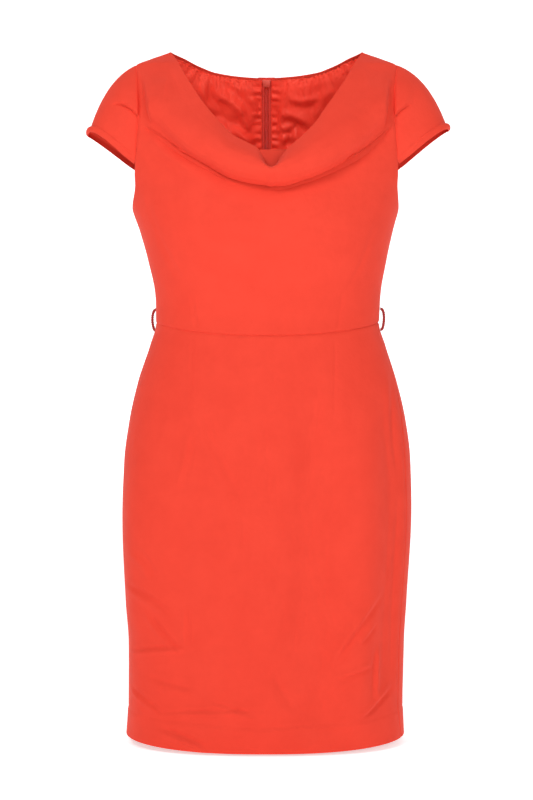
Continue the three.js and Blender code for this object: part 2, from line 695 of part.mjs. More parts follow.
// Cap sleeve: from the armhole seam out to a hem, as a crescent with a tuck in its front and back
function sleevePanel(name, side) {
  const tip = side > 0 ? sleeve.leftTip : sleeve.rightTip;
  const rowsUp = (rows) => rows.filter((t) => t >= sleeveShare);
  const seam = [
    ...rowsUp(frontRows).map((t) => ({ t, atBack: false })),
    ...rowsUp(backRows).slice(0, -1).reverse().map((t) => ({ t, atBack: true })),
  ].map(({ t, atBack }) => {
    const edge = armholeEdge((t - underarmShare) / (1 - underarmShare), atBack);
    const point = formPoint(edge.angle, edge.z);
    const upTo = (t - sleeveShare) / (1 - sleeveShare) / 2;
    return { point: t === 1 ? point.setY(0) : point, normal: formNormal(edge.angle, edge.z),
      share: atBack ? 1 - upTo : upTo };
  });
  const lastSeam = seam.length - 1;
  const outCount = 8;
  const outer = steps(outCount).map((t) =>
    seam.map(({ point, normal, share }, j) => {
      const turn = mix(-quarterTurn, quarterTurn, share);
      const lift = Math.cos(turn);
      const along = seam[Math.min(j + 1, lastSeam)].point.clone()
        .sub(seam[Math.max(j - 1, 0)].point);
      const outwards = normal.clone().cross(along).normalize();
      if (outwards.x < 0) outwards.negate();
      const start = point.clone().addScaledVector(outwards, seamGap);
      const end = new THREE.Vector3(
        mix(sleeve.hemEnd.x, tip.x, lift ** 0.9),
        sleeve.hemDepth * Math.sin(turn),
        mix(sleeve.hemEnd.z, tip.z, lift ** 0.9) - sleeve.hemBow * Math.sin(2 * turn),
      );
      const control = start.clone().add(end).multiplyScalar(0.5);
      control.x += sleeve.bulge.x * lift;
      control.y += sleeve.bulge.y * Math.sin(2 * turn);
      control.z += sleeve.bulge.z * lift * lift;
      return start.multiplyScalar((1 - t) ** 2)
        .addScaledVector(control, 2 * t * (1 - t))
        .addScaledVector(end, t * t);
    }),
  );
  const normals = gridNormals(outer).map((row, i) =>
    row.map((normal, j) => {
      if (i === 0) return seam[j].normal.clone();
      return normal.dot(seam[j].normal) < 0 ? normal.negate() : normal;
    }),
  );
  const lifts = outer.map((row, i) =>
    row.map((point, j) => {
      const t = i / outCount;
      const { share } = seam[j];
      const tuck = [sleeve.tuckAt, 1 - sleeve.tuckAt].reduce((sum, at) => {
        const off = (at < 0.5 ? share - at : at - share) - 0.05 * t;
        const step = smooth(-0.004, sleeve.tuckWidth, off) * (1 - smooth(0.02, 0.2, off));
        return sum + step * (1 - smooth(0.15, 0.62, t)) * smooth(0, 0.1, t);
      }, 0);
      const fromHem = point.distanceTo(outer[outCount][j]);
      const band = 1 - smooth(sleeve.hemBand * 0.6, sleeve.hemBand, fromHem);
      const full = smooth(0, 0.12, share * (1 - share) * 2);
      return sleeve.tuckStep * tuck + sleeve.hemBandLift * band * full * smooth(0, 0.3, t);
    }),
  );
  const mirror = (v) => (side > 0 ? v : new THREE.Vector3(-v.x, v.y, v.z));
  const turnRow = (row) => (side > 0 ? row.map(mirror) : row.map(mirror).reverse());
  const placed = outer.map(turnRow).reverse();
  const facing = normals.map(turnRow).reverse();
  const raised = lifts.map((row) => (side > 0 ? row : [...row].reverse())).reverse();
  return wall(name, placed, facing, clothThickness, crepe, raised);
}

// The centre back seam as the panels have it: the same rows, joined by straight lines
const backSeamRows = (() => {
  const waist = waistZ(halfTurn);
  const skirt = skirtRows.map((t) => mix(hemZ(halfTurn), waist - seamGap / 2, t));
  const bodice = backRows.map((t) => mix(waist + seamGap / 2, backNeck.at(-1).z, t));
  return [...skirt, ...bodice].map((z) => ({
    z, y: formPoint(halfTurn, z).y, lean: formNormal(halfTurn, z),
  }));
})();
function backSeam(z) {
  const found = backSeamRows.findIndex((row) => row.z >= z);
  const i = found < 0 ? backSeamRows.length - 1 : found;
  const [low, high] = [backSeamRows[i - 1], backSeamRows[i]];
  const share = (z - low.z) / (high.z - low.z);
  return { z, y: mix(low.y, high.y, share), lean: low.lean.clone().lerp(high.lean, share) };
}

// Zip tapes and chain: strips that follow the centre back, inside the cloth
const chainTopZ = zip.topZ - zip.chainDrop;
function backStrip(name, topZ, nearX, farX, thickness, finish) {
  const atSlider = [backSeam(chainTopZ), backSeam(chainTopZ + seamGap)];
  const between = [...backSeamRows, ...atSlider]
    .filter(({ z }) => z > zip.footZ + 1 && z < topZ - 1)
    .sort((a, b) => a.z - b.z);
  const rows = [backSeam(zip.footZ), ...between, backSeam(topZ)];
  const widen = (z, x) => (z > chainTopZ && Math.abs(x) < zip.sliderWidth / 2 + seamGap
    ? Math.sign(x) * (zip.sliderWidth / 2 + seamGap) : x);
  const inset = clothThickness + seamGap;
  const roundsOff = (x, z) => formPoint(angleAcross(x, z, Math.sign(x)), z).y
    - formPoint(halfTurn, z).y;
  const outer = rows.map(({ z, y, lean }) =>
    [Math.max(nearX, farX), Math.min(nearX, farX)].map((x) =>
      new THREE.Vector3(widen(z, x), y + roundsOff(x, z), z).addScaledVector(lean, -inset)),
  );
  const normals = rows.map(({ lean }) => [lean, lean]);
  return wall(name, outer, normals, thickness, finish);
}

// Solids that manifold-3d joins
function solidOf(geometry) {
  const bare = geometry.index ? geometry.toNonIndexed() : geometry.clone();
  bare.deleteAttribute("normal");
  bare.deleteAttribute("uv");
  const merged = mergeVertices(bare, 1e-4);
  return new wasm.Manifold(
    new wasm.Mesh({
      numProp: 3,
      vertProperties: merged.attributes.position.array,
      triVerts: new Uint32Array(merged.index.array),
    }),
  );
}
function geometryOf(solid) {
  const { vertProperties, triVerts, numProp } = solid.getMesh();
  const count = vertProperties.length / numProp;
  const positions = new Float32Array(count * 3);
  for (let i = 0; i < count; i++)
    positions.set(vertProperties.subarray(i * numProp, i * numProp + 3), i * 3);
  const geometry = new THREE.BufferGeometry();
  geometry.setAttribute("position", new THREE.BufferAttribute(positions, 3));
  geometry.setIndex(new THREE.BufferAttribute(new Uint32Array(triVerts), 1));
  return geometry;
}

// Slider and tab share the hinge's frame: its X is the hinge, its Y points out of the cloth
const hingeZ = zip.topZ - zip.sliderDrop;
const hingeY = formPoint(halfTurn, hingeZ).y + pullTab.standOff;
const outOfCloth = formNormal(halfTurn, hingeZ);
const hingeTilt = Math.atan2(outOfCloth.z, outOfCloth.y);
function hang(mesh) {
  const hinge = new THREE.Group();
  hinge.position.set(0, hingeY, hingeZ);
  hinge.rotation.x = hingeTilt;
  hinge.add(mesh);
  return hinge;
}

// Slider: a tapered body inside the dress, and a plate with a ring that comes out between the backs
function zipSlider() {
  const top = zip.sliderWidth / 2;
  const foot = top * 0.74;
  const corner = 1;
  const high = zip.sliderHeight / 2;
  const outline = new THREE.Shape();
  outline.moveTo(-foot + corner, -high);
  outline.lineTo(foot - corner, -high);
  outline.quadraticCurveTo(foot, -high, foot, -high + corner);
  outline.lineTo(top, high - corner);
  outline.quadraticCurveTo(top, high, top - corner, high);
  outline.lineTo(-top + corner, high);
  outline.quadraticCurveTo(-top, high, -top, high - corner);
  outline.lineTo(-foot, -high + corner);
  outline.quadraticCurveTo(-foot, -high, -foot + corner, -high);
  const body = new THREE.ExtrudeGeometry(outline, {
    depth: zip.sliderThickness,
    bevelEnabled: false,
    curveSegments: 3,
  });
  const inwards = pullTab.standOff + clothThickness + seamGap;
  body.rotateX(quarterTurn);
  body.translate(0, -inwards, 0);
  const outerRadius = pullTab.ringRadius + pullTab.wire / 2;
  const ring = new THREE.Shape();
  ring.absarc(0, 0, outerRadius, quarterTurn, -quarterTurn, true);
  ring.lineTo(-inwards - 1, -outerRadius);
  ring.lineTo(-inwards - 1, outerRadius);
  const hole = new THREE.Path();
  hole.absarc(0, 0, pullTab.ringRadius - pullTab.wire / 2, 0, 2 * halfTurn, false);
  ring.holes.push(hole);
  const plate = new THREE.ExtrudeGeometry(ring, {
    depth: pullTab.wire,
    bevelEnabled: false,
    curveSegments: 10,
  });
  plate.translate(0, 0, -pullTab.wire / 2);
  plate.rotateX(quarterTurn);
  plate.rotateZ(quarterTurn);
  const joined = solidOf(body).add(solidOf(plate));
  const mesh = new THREE.Mesh(geometryOf(joined), paintedMetal);
  mesh.name = "zip_slider";
  return hang(mesh);
}

// Pull tab: a flat drop with a bar at its top, which the slider's ring goes round
function zipPullTab() {
  const half = pullTab.width / 2;
  const bar = pullTab.thickness / 2;
  const outline = new THREE.Shape();
  outline.moveTo(-half + 0.8, bar);
  outline.lineTo(half - 0.8, bar);
  outline.quadraticCurveTo(half - 0.4, bar, half - 0.4, bar - 0.6);
  outline.lineTo(half - 0.9, -pullTab.length * 0.35);
  outline.absarc(0, -pullTab.length + half, half, 0, -halfTurn, true);
  outline.lineTo(-half + 0.9, -pullTab.length * 0.35);
  outline.lineTo(-half + 0.4, bar - 0.6);
  outline.quadraticCurveTo(-half + 0.4, bar, -half + 0.8, bar);
  const hole = new THREE.Path();
  const low = -(pullTab.ringRadius + pullTab.wire / 2 + seamGap + 0.25);
  const high = -bar;
  hole.moveTo(-pullTab.holeWidth / 2, high);
  hole.lineTo(-pullTab.holeWidth / 2, low);
  hole.lineTo(pullTab.holeWidth / 2, low);
  hole.lineTo(pullTab.holeWidth / 2, high);
  outline.holes.push(hole);
  const plate = new THREE.ExtrudeGeometry(outline, {
    depth: pullTab.thickness,
    bevelEnabled: false,
    curveSegments: 10,
  });
  plate.translate(0, 0, -pullTab.thickness / 2);
  plate.rotateX(quarterTurn);
  const tab = new THREE.Mesh(plate, paintedMetal);
  tab.name = "zip_pull_tab";
  return hang(tab);
}

// Belt loop: a thin rouleau that stands out from the side at the waist
function beltLoopAt(name, side) {
  const middle = (beltLoop.topZ + beltLoop.footZ) / 2;
  const half = (beltLoop.topZ - beltLoop.footZ) / 2;
  const radius = beltLoop.thickness / 2;
  const path = new THREE.CatmullRomCurve3(
    steps(8).map((share) => {
      const turn = mix(-quarterTurn, quarterTurn, share);
      const z = middle + half * Math.sin(turn);
      const rest = formPoint(seamAngle(z, side), z);
      const out = radius + beltLoop.seat + (beltLoop.out - radius) * Math.cos(turn) ** 0.7;
      return new THREE.Vector3(rest.x + side * out, rest.y, z);
    }),
  );
  const section = new THREE.Shape();
  section.absarc(0, 0, radius, 0, 2 * halfTurn, false);
  const geometry = new THREE.ExtrudeGeometry(section, {
    steps: 14,
    extrudePath: path,
    curveSegments: 8,
    bevelEnabled: false,
  });
  const mesh = new THREE.Mesh(geometry, crepe);
  mesh.name = name;
  return mesh;
}

const dress = new THREE.Group();
dress.add(bodiceFront());
dress.add(bodiceBack("bodice_back_left", 1));
dress.add(bodiceBack("bodice_back_right", -1));
dress.add(sleevePanel("sleeve_left", 1));
dress.add(sleevePanel("sleeve_right", -1));
dress.add(skirtPanel("skirt_front", sideSeam(-1, false), sideSeam(1, false), steps(24)));
dress.add(skirtPanel("skirt_back_left", sideSeam(1, true), centreBack(1), steps(14)));
dress.add(skirtPanel("skirt_back_right", centreBack(-1), sideSeam(-1, true), steps(14)));
dress.add(frontFacing());
dress.add(backLining("lining_back_left", 1));
dress.add(backLining("lining_back_right", -1));
const chainHalf = zip.chainWidth / 2;
const [tapeNear, tapeFar] = [chainHalf + seamGap, chainHalf + seamGap + zip.tapeWidth];
dress.add(backStrip("zip_chain", chainTopZ, -chainHalf, chainHalf, zip.chainThickness, paintedMetal));
dress.add(backStrip("zip_tape_left", zip.topZ, tapeNear, tapeFar, zip.tapeThickness, tapeCloth));
dress.add(backStrip("zip_tape_right", zip.topZ, -tapeNear, -tapeFar, zip.tapeThickness, tapeCloth));
dress.add(zipSlider());
dress.add(zipPullTab());
dress.add(beltLoopAt("belt_loop_left", 1));
dress.add(beltLoopAt("belt_loop_right", -1));

export default dress;
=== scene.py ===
# Sheath dress with a cowl neck and cap sleeves, worn by nobody and filled out as if it were.
# Metres, +Z up. The front faces -Y, and the wearer's left is +X.
import math
import bpy
import numpy as np
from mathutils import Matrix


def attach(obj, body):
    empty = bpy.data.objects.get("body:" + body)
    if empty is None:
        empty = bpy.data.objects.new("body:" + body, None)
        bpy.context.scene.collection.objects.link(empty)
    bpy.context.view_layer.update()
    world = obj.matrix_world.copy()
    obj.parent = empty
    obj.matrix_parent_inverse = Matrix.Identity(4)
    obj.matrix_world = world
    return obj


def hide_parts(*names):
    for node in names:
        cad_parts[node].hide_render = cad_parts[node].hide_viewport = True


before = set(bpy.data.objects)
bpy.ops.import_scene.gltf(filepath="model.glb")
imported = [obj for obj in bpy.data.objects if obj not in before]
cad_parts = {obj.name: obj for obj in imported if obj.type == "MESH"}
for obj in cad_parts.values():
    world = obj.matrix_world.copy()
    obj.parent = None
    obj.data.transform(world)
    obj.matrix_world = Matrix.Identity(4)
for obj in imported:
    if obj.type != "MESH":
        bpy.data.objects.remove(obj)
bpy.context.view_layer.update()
print("frame loaded")

pi = math.pi

cloth = {
    "thickness": 0.0011,
    "liningThickness": 0.0007,
    "seamGap": 0.0003,
    "liningInset": 0.0034,
    "liningDrop": 0.0025,
}
heights = {
    "shoulderEnd": -0.0175,
    "underarm": -0.221,
    "waistSide": -0.379,
    "waistFrontDip": 0.022,
    "waistBackRise": 0.004,
    "hemSide": -0.949,
    "hemFrontDip": 0.009,
}

# The hollow form: height, half width, sway, depths in front and behind, powers of the two halves
formColumns = ("z", "halfWidth", "sway", "front", "back", "frontPower", "backPower")
formRows = [
    (0, 134, 0, 7, 46, 2, 1.45),
    (-11, 164, 0, 22, 52, 2.1, 1.5),
    (-20, 184, 0, 33, 57, 2.2, 1.6),
    (-40, 197, 0, 50, 67, 2.2, 1.75),
    (-60, 202, 0, 63, 76, 2.2, 1.9),
    (-90, 204, 0, 79, 86, 2.2, 2.1),
    (-120, 206, 0, 91, 92, 2.2, 2.2),
    (-150, 203, 0, 101, 96, 2.2, 2.3),
    (-175, 198, 0, 108, 98, 2.2, 2.3),
    (-195, 191, 0, 113, 98, 2.2, 2.3),
    (-221, 186, -1, 118, 98, 2.2, 2.3),
    (-250, 177, 0, 121, 95, 2.2, 2.25),
    (-290, 167, 1, 115, 89, 2.2, 2.2),
    (-347, 157, 2, 99, 83, 2.15, 2.15),
    (-380, 156, 1.5, 95, 83, 2.15, 2.15),
    (-410, 164, 2, 98, 88, 2.2, 2.2),
    (-460, 180, 1.5, 106, 102, 2.25, 2.2),
    (-515, 192.5, 1.5, 112, 115, 2.3, 2.2),
    (-570, 199.5, 1, 115, 123, 2.3, 2.2),
    (-641, 201.5, 0.5, 117, 125, 2.35, 2.25),
    (-767, 196, -0.5, 117, 119, 2.4, 2.3),
    (-823, 192, 0, 115, 114, 2.4, 2.3),
    (-900, 191, -1, 114, 111, 2.4, 2.3),
    (-960, 194, -2, 115, 111, 2.4, 2.3),
]
seamTurnRows = [(-221, 0), (-379, 7), (-460, 14), (-570, 20), (-900, 20), (-960, 15)]
armhole = {"middle": -0.140, "front": 0.053, "back": 0.052, "upperPower": 1.6, "lowerPower": 2.2}

# Edges, as x and z in millimetres
cowlEdge = [
    (-134, 0), (-125, -14), (-114, -35), (-99, -61), (-85, -83), (-70, -103), (-57, -119),
    (-45, -132), (-34, -139), (-21, -146), (-12, -152), (-6, -162), (-2, -172), (2, -177),
    (7, -178.5), (12, -175), (17, -167), (23, -158), (31, -149), (47, -134), (64, -115),
    (78, -93), (94, -69), (109, -45), (121, -22), (134, 0),
]
cowlFold = [
    (-157, -118), (-114, -150), (-79, -169), (-45, -187), (-12, -195), (18, -197), (54, -187),
    (88, -173), (124, -153), (155, -128),
]
backNeck = [(134, 0), (116, -5), (101, -11), (89, -15), (73, -19.5), (39, -23.5), (0, -25.5)]
facingNeck = [(134, -2), (116, -45), (94, -90), (66, -128), (40, -144), (18, -148), (0, -148)]

# The cowl's section at the centre: share up from the fold, how far out it stands and hangs down
cowlSection = [
    (0, -2, 0), (0.08, 0.7, 5.2), (0.16, 1.9, 9.8), (0.24, 4.6, 12.8), (0.33, 12.5, 12.6),
    (0.42, 21.5, 8), (0.52, 28, 1), (0.64, 27, -2), (0.76, 23, -2), (0.88, 18, -1), (1, 13, 0),
]
cowl = {"lipShare": 0.42, "lipSpan": 0.013, "lipMost": 0.6, "fadeFrom": 0.04, "fadeTo": 0.36,
        "lipFadeTo": 0.055, "lipSide": 0.72, "hollow": 0.0040, "hollowAt": 0.002,
        "hollowWidth": 0.017, "groove": 0.0050, "grooveAt": 0.0053, "grooveWidth": 0.0023}


def mix(a, b, share):
    return a + (b - a) * share


def smooth(low, high, value):
    share = np.clip((np.asarray(value, float) - low) / (high - low), 0, 1)
    return share * share * (3 - 2 * share)


def bell(distance, width):
    return np.exp(-((np.asarray(distance) / width) ** 2))


def makeCurve(xs, ys):
    # A smooth curve through the points that never overshoots them
    order = np.argsort(xs)
    x, y = np.array(xs, float)[order], np.array(ys, float)[order]
    secant = np.diff(y) / np.diff(x)
    slope = np.zeros_like(x)
    slope[0], slope[-1] = secant[0], secant[-1]
    for i in range(1, len(x) - 1):
        before, after = secant[i - 1], secant[i]
        slope[i] = 2 * before * after / (before + after) if before * after > 0 else 0

    def value(at):
        at = np.clip(at, x[0], x[-1])
        i = np.clip(np.searchsorted(x, at, side="right") - 1, 0, len(x) - 2)
        span = x[i + 1] - x[i]
        s = (at - x[i]) / span
        return (y[i] * (1 + 2 * s) * (1 - s) ** 2 + slope[i] * span * s * (1 - s) ** 2
                + y[i + 1] * s * s * (3 - 2 * s) + slope[i + 1] * span * s * s * (s - 1))

    return value


formHeights = [row[0] / 1000 for row in formRows]
form = {
    name: makeCurve(formHeights, [row[k] if "Power" in name else row[k] / 1000 for row in formRows])
    for k, name in enumerate(formColumns) if name != "z"
}
turnAt = makeCurve([z / 1000 for z, turn in seamTurnRows],
                   [math.radians(turn) for z, turn in seamTurnRows])


def formPoint(angle, z):
    # The angle is 0 at the centre front and grows towards +X
    angle, z = np.broadcast_arrays(np.asarray(angle, float), np.asarray(z, float))
    sine, cosine = np.sin(angle), np.cos(angle)
    power = np.where(cosine >= 0, form["frontPower"](z), form["backPower"](z))
    depth = np.where(cosine >= 0, -form["front"](z), form["back"](z))
    x = form["halfWidth"](z) * np.sign(sine) * np.abs(sine) ** (2 / power) + form["sway"](z)
    return np.stack([x, depth * np.abs(cosine) ** (2 / power), z], -1)


def unit(v):
    return v / np.maximum(np.linalg.norm(v, axis=-1, keepdims=True), 1e-12)


def formNormal(angle, z):
    turn, rise = 0.01, 0.001
    around = formPoint(angle + turn, z) - formPoint(angle - turn, z)
    up = formPoint(angle, z + rise) - formPoint(angle, z - rise)
    return unit(np.cross(around, up))


def angleAcross(x, z, backSide=0):
    power = form["backPower" if backSide else "frontPower"](z)
    across = (x - form["sway"](z)) / form["halfWidth"](z)
    angle = np.sign(across) * np.arcsin(np.clip(np.abs(across), 0, 1) ** (power / 2))
    return backSide * pi - angle if backSide else angle


def angleAtDepth(depth, z, atBack=False):
    power = form["backPower" if atBack else "frontPower"](z)
    most = form["back" if atBack else "front"](z)
    angle = np.arccos(np.clip(depth / most, 0, 1) ** (power / 2))
    return pi - angle if atBack else angle


def waistZ(angle):
    dip = heights["waistFrontDip"] * np.maximum(0, np.cos(angle)) ** 1.5
    rise = heights["waistBackRise"] * np.maximum(0, -np.cos(angle)) ** 1.5
    return heights["waistSide"] - dip + rise


def hemZ(angle):
    return heights["hemSide"] - heights["hemFrontDip"] * np.maximum(0, np.cos(angle)) ** 1.5


def seamAngle(z, side):
    return side * pi / 2 - turnAt(z)


def armholeEdge(share, atBack):
    # From 0 at the underarm to 1 at the shoulder
    turn = mix(-pi / 2, pi / 2, np.asarray(share, float))
    upper = turn > 0
    power = np.where(upper, armhole["upperPower"], armhole["lowerPower"])
    reach = np.where(upper, heights["shoulderEnd"] - armhole["middle"],
                     armhole["middle"] - heights["underarm"])
    z = armhole["middle"] + np.sign(turn) * reach * np.abs(np.sin(turn)) ** (2 / power)
    most = armhole["back" if atBack else "front"]
    depth = np.maximum(cloth["seamGap"] / 2, most * np.abs(np.cos(turn)) ** (2 / power))
    return angleAtDepth(depth, z, atBack), z


underarmShare = 0.4


def onArmhole(share):
    return mix(underarmShare, 1, share)


def bodiceSide(share, side, atBack):
    # The side of a bodice panel: its side seam, then its armhole up to the shoulder
    share = np.asarray(share, float)
    z = mix(heights["waistSide"] + cloth["seamGap"] / 2, heights["underarm"],
            np.clip(share / underarmShare, 0, 1))
    gap = angleAtDepth(cloth["seamGap"] / 2, z, atBack) - pi / 2
    sewn = seamAngle(z, side) + side * gap
    angle, up = armholeEdge(np.clip((share - underarmShare) / (1 - underarmShare), 0, 1), atBack)
    below = share <= underarmShare
    return np.where(below, sewn, side * angle), np.where(below, z, up)


sectionTurns = np.linspace(0, 0.8 * pi, 97)


def rowInterp(value, fromTable, toTable):
    # Each value is read from its own row of the table
    i = np.clip((fromTable <= value[..., None]).sum(-1) - 1, 0, fromTable.shape[-1] - 2)
    low = np.take_along_axis(fromTable, i[..., None], -1)[..., 0]
    high = np.take_along_axis(fromTable, i[..., None] + 1, -1)[..., 0]
    toLow = np.take_along_axis(toTable, i[..., None], -1)[..., 0]
    toHigh = np.take_along_axis(toTable, i[..., None] + 1, -1)[..., 0]
    return toLow + (toHigh - toLow) * (value - low) / (high - low)


def lengthsRound(centre, z):
    points = formPoint(centre + sectionTurns, np.asarray(z, float)[..., None])
    steps = np.linalg.norm(np.diff(points, axis=-2), axis=-1)
    return np.concatenate([np.zeros(steps.shape[:-1] + (1,)), np.cumsum(steps, -1)], -1)


def lengthTo(angle, z, centre=0.0):
    angle, z = np.broadcast_arrays(np.asarray(angle, float), np.asarray(z, float))
    turn = angle - centre
    lengths = lengthsRound(centre, z)
    turns = np.broadcast_to(sectionTurns, lengths.shape)
    return np.sign(turn) * rowInterp(np.abs(turn), turns, lengths)


def angleAt(length, z, centre=0.0):
    length, z = np.broadcast_arrays(np.asarray(length, float), np.asarray(z, float))
    lengths = lengthsRound(centre, z)
    turn = rowInterp(np.abs(length), lengths, np.broadcast_to(sectionTurns, lengths.shape))
    return centre + np.sign(length) * turn


evenWithin = 0.085


def patch(left, right, bottom, top, centre=0.0):
    # A four-sided patch of the form between edges that give angles and heights.
    # Away from its sides the rows are evenly spaced.
    def laid(edge, share):
        angle, z = edge(np.asarray(share, float))
        angle, z = np.broadcast_arrays(angle, z)
        return np.stack([lengthTo(angle, z, centre), z])

    corner = {(e, v): laid(edge, [v])[:, 0] for e, edge in
              (("left", left), ("right", right), ("bottom", bottom), ("top", top)) for v in (0, 1)}

    def place(s, t):
        # s and t are whole grids of shares, or broadcast to them; rows of t, columns of s
        s, t = np.broadcast_arrays(np.asarray(s, float), np.asarray(t, float))
        start, end = laid(left, t), laid(right, t)
        foot, head = laid(bottom, s), laid(top, s)
        level = mix(start, end, s)
        lowZ = mix(corner["left", 0][1], corner["right", 0][1], s)
        highZ = mix(corner["left", 1][1], corner["right", 1][1], s)
        level[1] = mix(mix(lowZ, highZ, t), level[1], np.exp(-np.minimum(s, 1 - s) / evenWithin))
        height = (level[1] - lowZ) / (highZ - lowZ)
        result = []
        for k in (0, 1):
            bowFoot = foot[k] - mix(corner["bottom", 0][k], corner["bottom", 1][k], s)
            bowHead = head[k] - mix(corner["top", 0][k], corner["top", 1][k], s)
            result.append(level[k] + mix(bowFoot, bowHead, height))
        return angleAt(result[0], result[1], centre), result[1]

    return place


def route(points):
    # Places at shares of the length of a line through points given in millimetres
    points = np.array(points, float) / 1000
    lengths = np.concatenate([[0], np.cumsum(np.linalg.norm(np.diff(points, axis=0), axis=1))])
    shares = lengths / lengths[-1]
    x, z = makeCurve(shares, points[:, 0]), makeCurve(shares, points[:, 1])
    return lambda share: (x(share), z(share))


shoulderShare = 0.09


def shoulderPlace(share, side, atBack):
    z = mix(heights["shoulderEnd"], 0, share)
    return side * angleAtDepth(cloth["seamGap"] / 2, z, atBack), z


def frontTop(edge, share):
    share = np.asarray(share, float)
    x, z = edge(np.clip((share - shoulderShare) / (1 - 2 * shoulderShare), 0, 1))
    most = angleAtDepth(cloth["seamGap"] / 2, z, False)
    angle = np.clip(angleAcross(x, z), -most, most)
    leftAngle, leftZ = shoulderPlace(np.clip(share / shoulderShare, 0, 1), -1, False)
    rightAngle, rightZ = shoulderPlace(np.clip((1 - share) / shoulderShare, 0, 1), 1, False)
    atLeft, atRight = share < shoulderShare, share > 1 - shoulderShare
    return (np.where(atLeft, leftAngle, np.where(atRight, rightAngle, angle)),
            np.where(atLeft, leftZ, np.where(atRight, rightZ, z)))


def gridNormals(points):
    across = np.gradient(points, axis=1)
    up = np.gradient(points, axis=0)
    return unit(np.cross(across, up))


def ordered(*parts):
    return np.unique(np.concatenate(parts))


nearColumns = np.array([0.0014, 0.0030, 0.0055, 0.010])
nearRows = np.array([0.0016, 0.0036, 0.007])


def softSteps(count, *stops):
    # Even shares between the stops, closer together at both ends of the whole
    spans = [np.linspace(a, b, max(2, round(count * (b - a)) + 1))
             for a, b in zip(stops, stops[1:])]
    return np.unique(np.round(ordered(*spans, nearColumns, 1 - nearColumns), 6))


def backRows(belowUnderarm, aboveUnderarm):
    return ordered(np.linspace(0, underarmShare, belowUnderarm),
                   np.linspace(underarmShare, 1, aboveUnderarm), nearRows, 1 - nearRows)


def gridFaces(index):
    corners = index[:-1, :-1], index[:-1, 1:], index[1:, 1:], index[1:, :-1]
    return np.stack(corners, -1).reshape(-1, 4)


def clothShell(name, outer, normals, thickness, uv, rim):
    # A closed shell: an outer and an inner grid, and a rounded rim between them
    rows, columns = outer.shape[:2]
    inner = outer - normals * thickness
    ring = ([(0, j) for j in range(columns)] + [(i, columns - 1) for i in range(1, rows)]
            + [(rows - 1, j) for j in range(columns - 2, -1, -1)]
            + [(i, 0) for i in range(rows - 2, 0, -1)])
    ringI, ringJ = np.array(ring).T
    inI, inJ = np.clip(ringI, 1, rows - 2), np.clip(ringJ, 1, columns - 2)
    off = outer[ringI, ringJ] - outer[inI, inJ]
    normal = normals[ringI, ringJ]
    off = unit(off - normal * (off * normal).sum(-1, keepdims=True))
    middle = (outer[ringI, ringJ] + inner[ringI, ringJ]) / 2
    points = [outer.reshape(-1, 3), inner.reshape(-1, 3)]
    uvs = [uv.reshape(-1, 2), uv.reshape(-1, 2)]
    for k in range(1, rim + 1):
        turn = pi * k / (rim + 1)
        points.append(middle + normal * (thickness / 2 * math.cos(turn))
                      + off * (thickness / 2 * math.sin(turn)))
        uvs.append(uv[ringI, ringJ])
    count = rows * columns
    index = np.arange(count).reshape(rows, columns)
    faces = gridFaces(index)
    faces = [faces, faces[:, [0, 3, 2, 1]] + count]
    loops = [index[ringI, ringJ]]
    loops += [2 * count + k * len(ring) + np.arange(len(ring)) for k in range(rim)]
    loops.append(index[ringI, ringJ] + count)
    for high, low in zip(loops, loops[1:]):
        faces.append(np.stack([high, low, np.roll(low, -1), np.roll(high, -1)], -1))
    return makeMesh(name, np.concatenate(points), np.concatenate(faces), np.concatenate(uvs))


def makeMesh(name, points, faces, uvs=None):
    mesh = bpy.data.meshes.new(name)
    mesh.from_pydata(points.tolist(), [], faces if isinstance(faces, list) else faces.tolist())
    if uvs is not None:
        layer = mesh.uv_layers.new(name="cut")
        corners = np.empty(len(mesh.loops), np.int32)
        mesh.loops.foreach_get("vertex_index", corners)
        layer.data.foreach_set("uv", np.asarray(uvs, np.float32)[corners].ravel())
    mesh.polygons.foreach_set("use_smooth", np.ones(len(mesh.polygons), bool))
    mesh.update()
    piece = bpy.data.objects.new(name, mesh)
    bpy.context.scene.collection.objects.link(piece)
    return piece


# A crease's columns: from x and z, to x and z, half width, depth (below 0 for a trough) and bow
# in millimetres; lip is the share of the depth that swells beside it, ends the share that fades
creaseColumns = ("x0", "z0", "x1", "z1", "width", "depth", "lip", "bow", "ends")
creaseLip = {"away": 1.9, "width": 1.3}
creaseOverrun = 0.3


def creaseRelief(x, z, creases, depthShare=1, bowShare=1):
    # Soft troughs and ridges along short bowed lines, each fading out at its ends
    total = np.zeros(np.broadcast(x, z).shape)
    for row in creases:
        crease = dict(zip(creaseColumns, row))
        x0, z0, x1, z1 = (crease[name] / 1000 for name in creaseColumns[:4])
        length = math.hypot(x1 - x0, z1 - z0)
        ux, uz = (x1 - x0) / length, (z1 - z0) / length
        along = ((x - x0) * ux + (z - z0) * uz) / length
        aside = (x - x0) * uz - (z - z0) * ux
        aside = aside - crease["bow"] * bowShare / 1000 * 4 * along * (1 - along)
        width, ends = crease["width"] / 1000, crease["ends"]
        over = ends * creaseOverrun
        fade = smooth(-over, ends, along) * smooth(1 + over, 1 - ends, along)
        lip = bell(aside - creaseLip["away"] * width, creaseLip["width"] * width)
        shape = bell(aside, width) - crease["lip"] * lip
        total = total + crease["depth"] * depthShare / 1000 * fade * shape
    return total


waveCount = 7


def lumps(x, z, seed, size):
    # A gentle uneven swell, the same every time
    random = np.random.default_rng(seed)
    total = np.zeros(np.broadcast(x, z).shape)
    for _ in range(waveCount):
        direction = random.uniform(0, pi)
        phase, wave = random.uniform(0, 2 * pi), size * random.uniform(0.7, 1.6)
        along = x * math.cos(direction) + z * math.sin(direction)
        total = total + np.sin(along * 2 * pi / wave + phase)
    return total / waveCount


seam = {
    "depth": 0.0010,
    "sleeveDepth": 0.0007,
    "reach": 0.0009,
    "hollow": 0.0002,
    "hollowReach": 0.004,
}


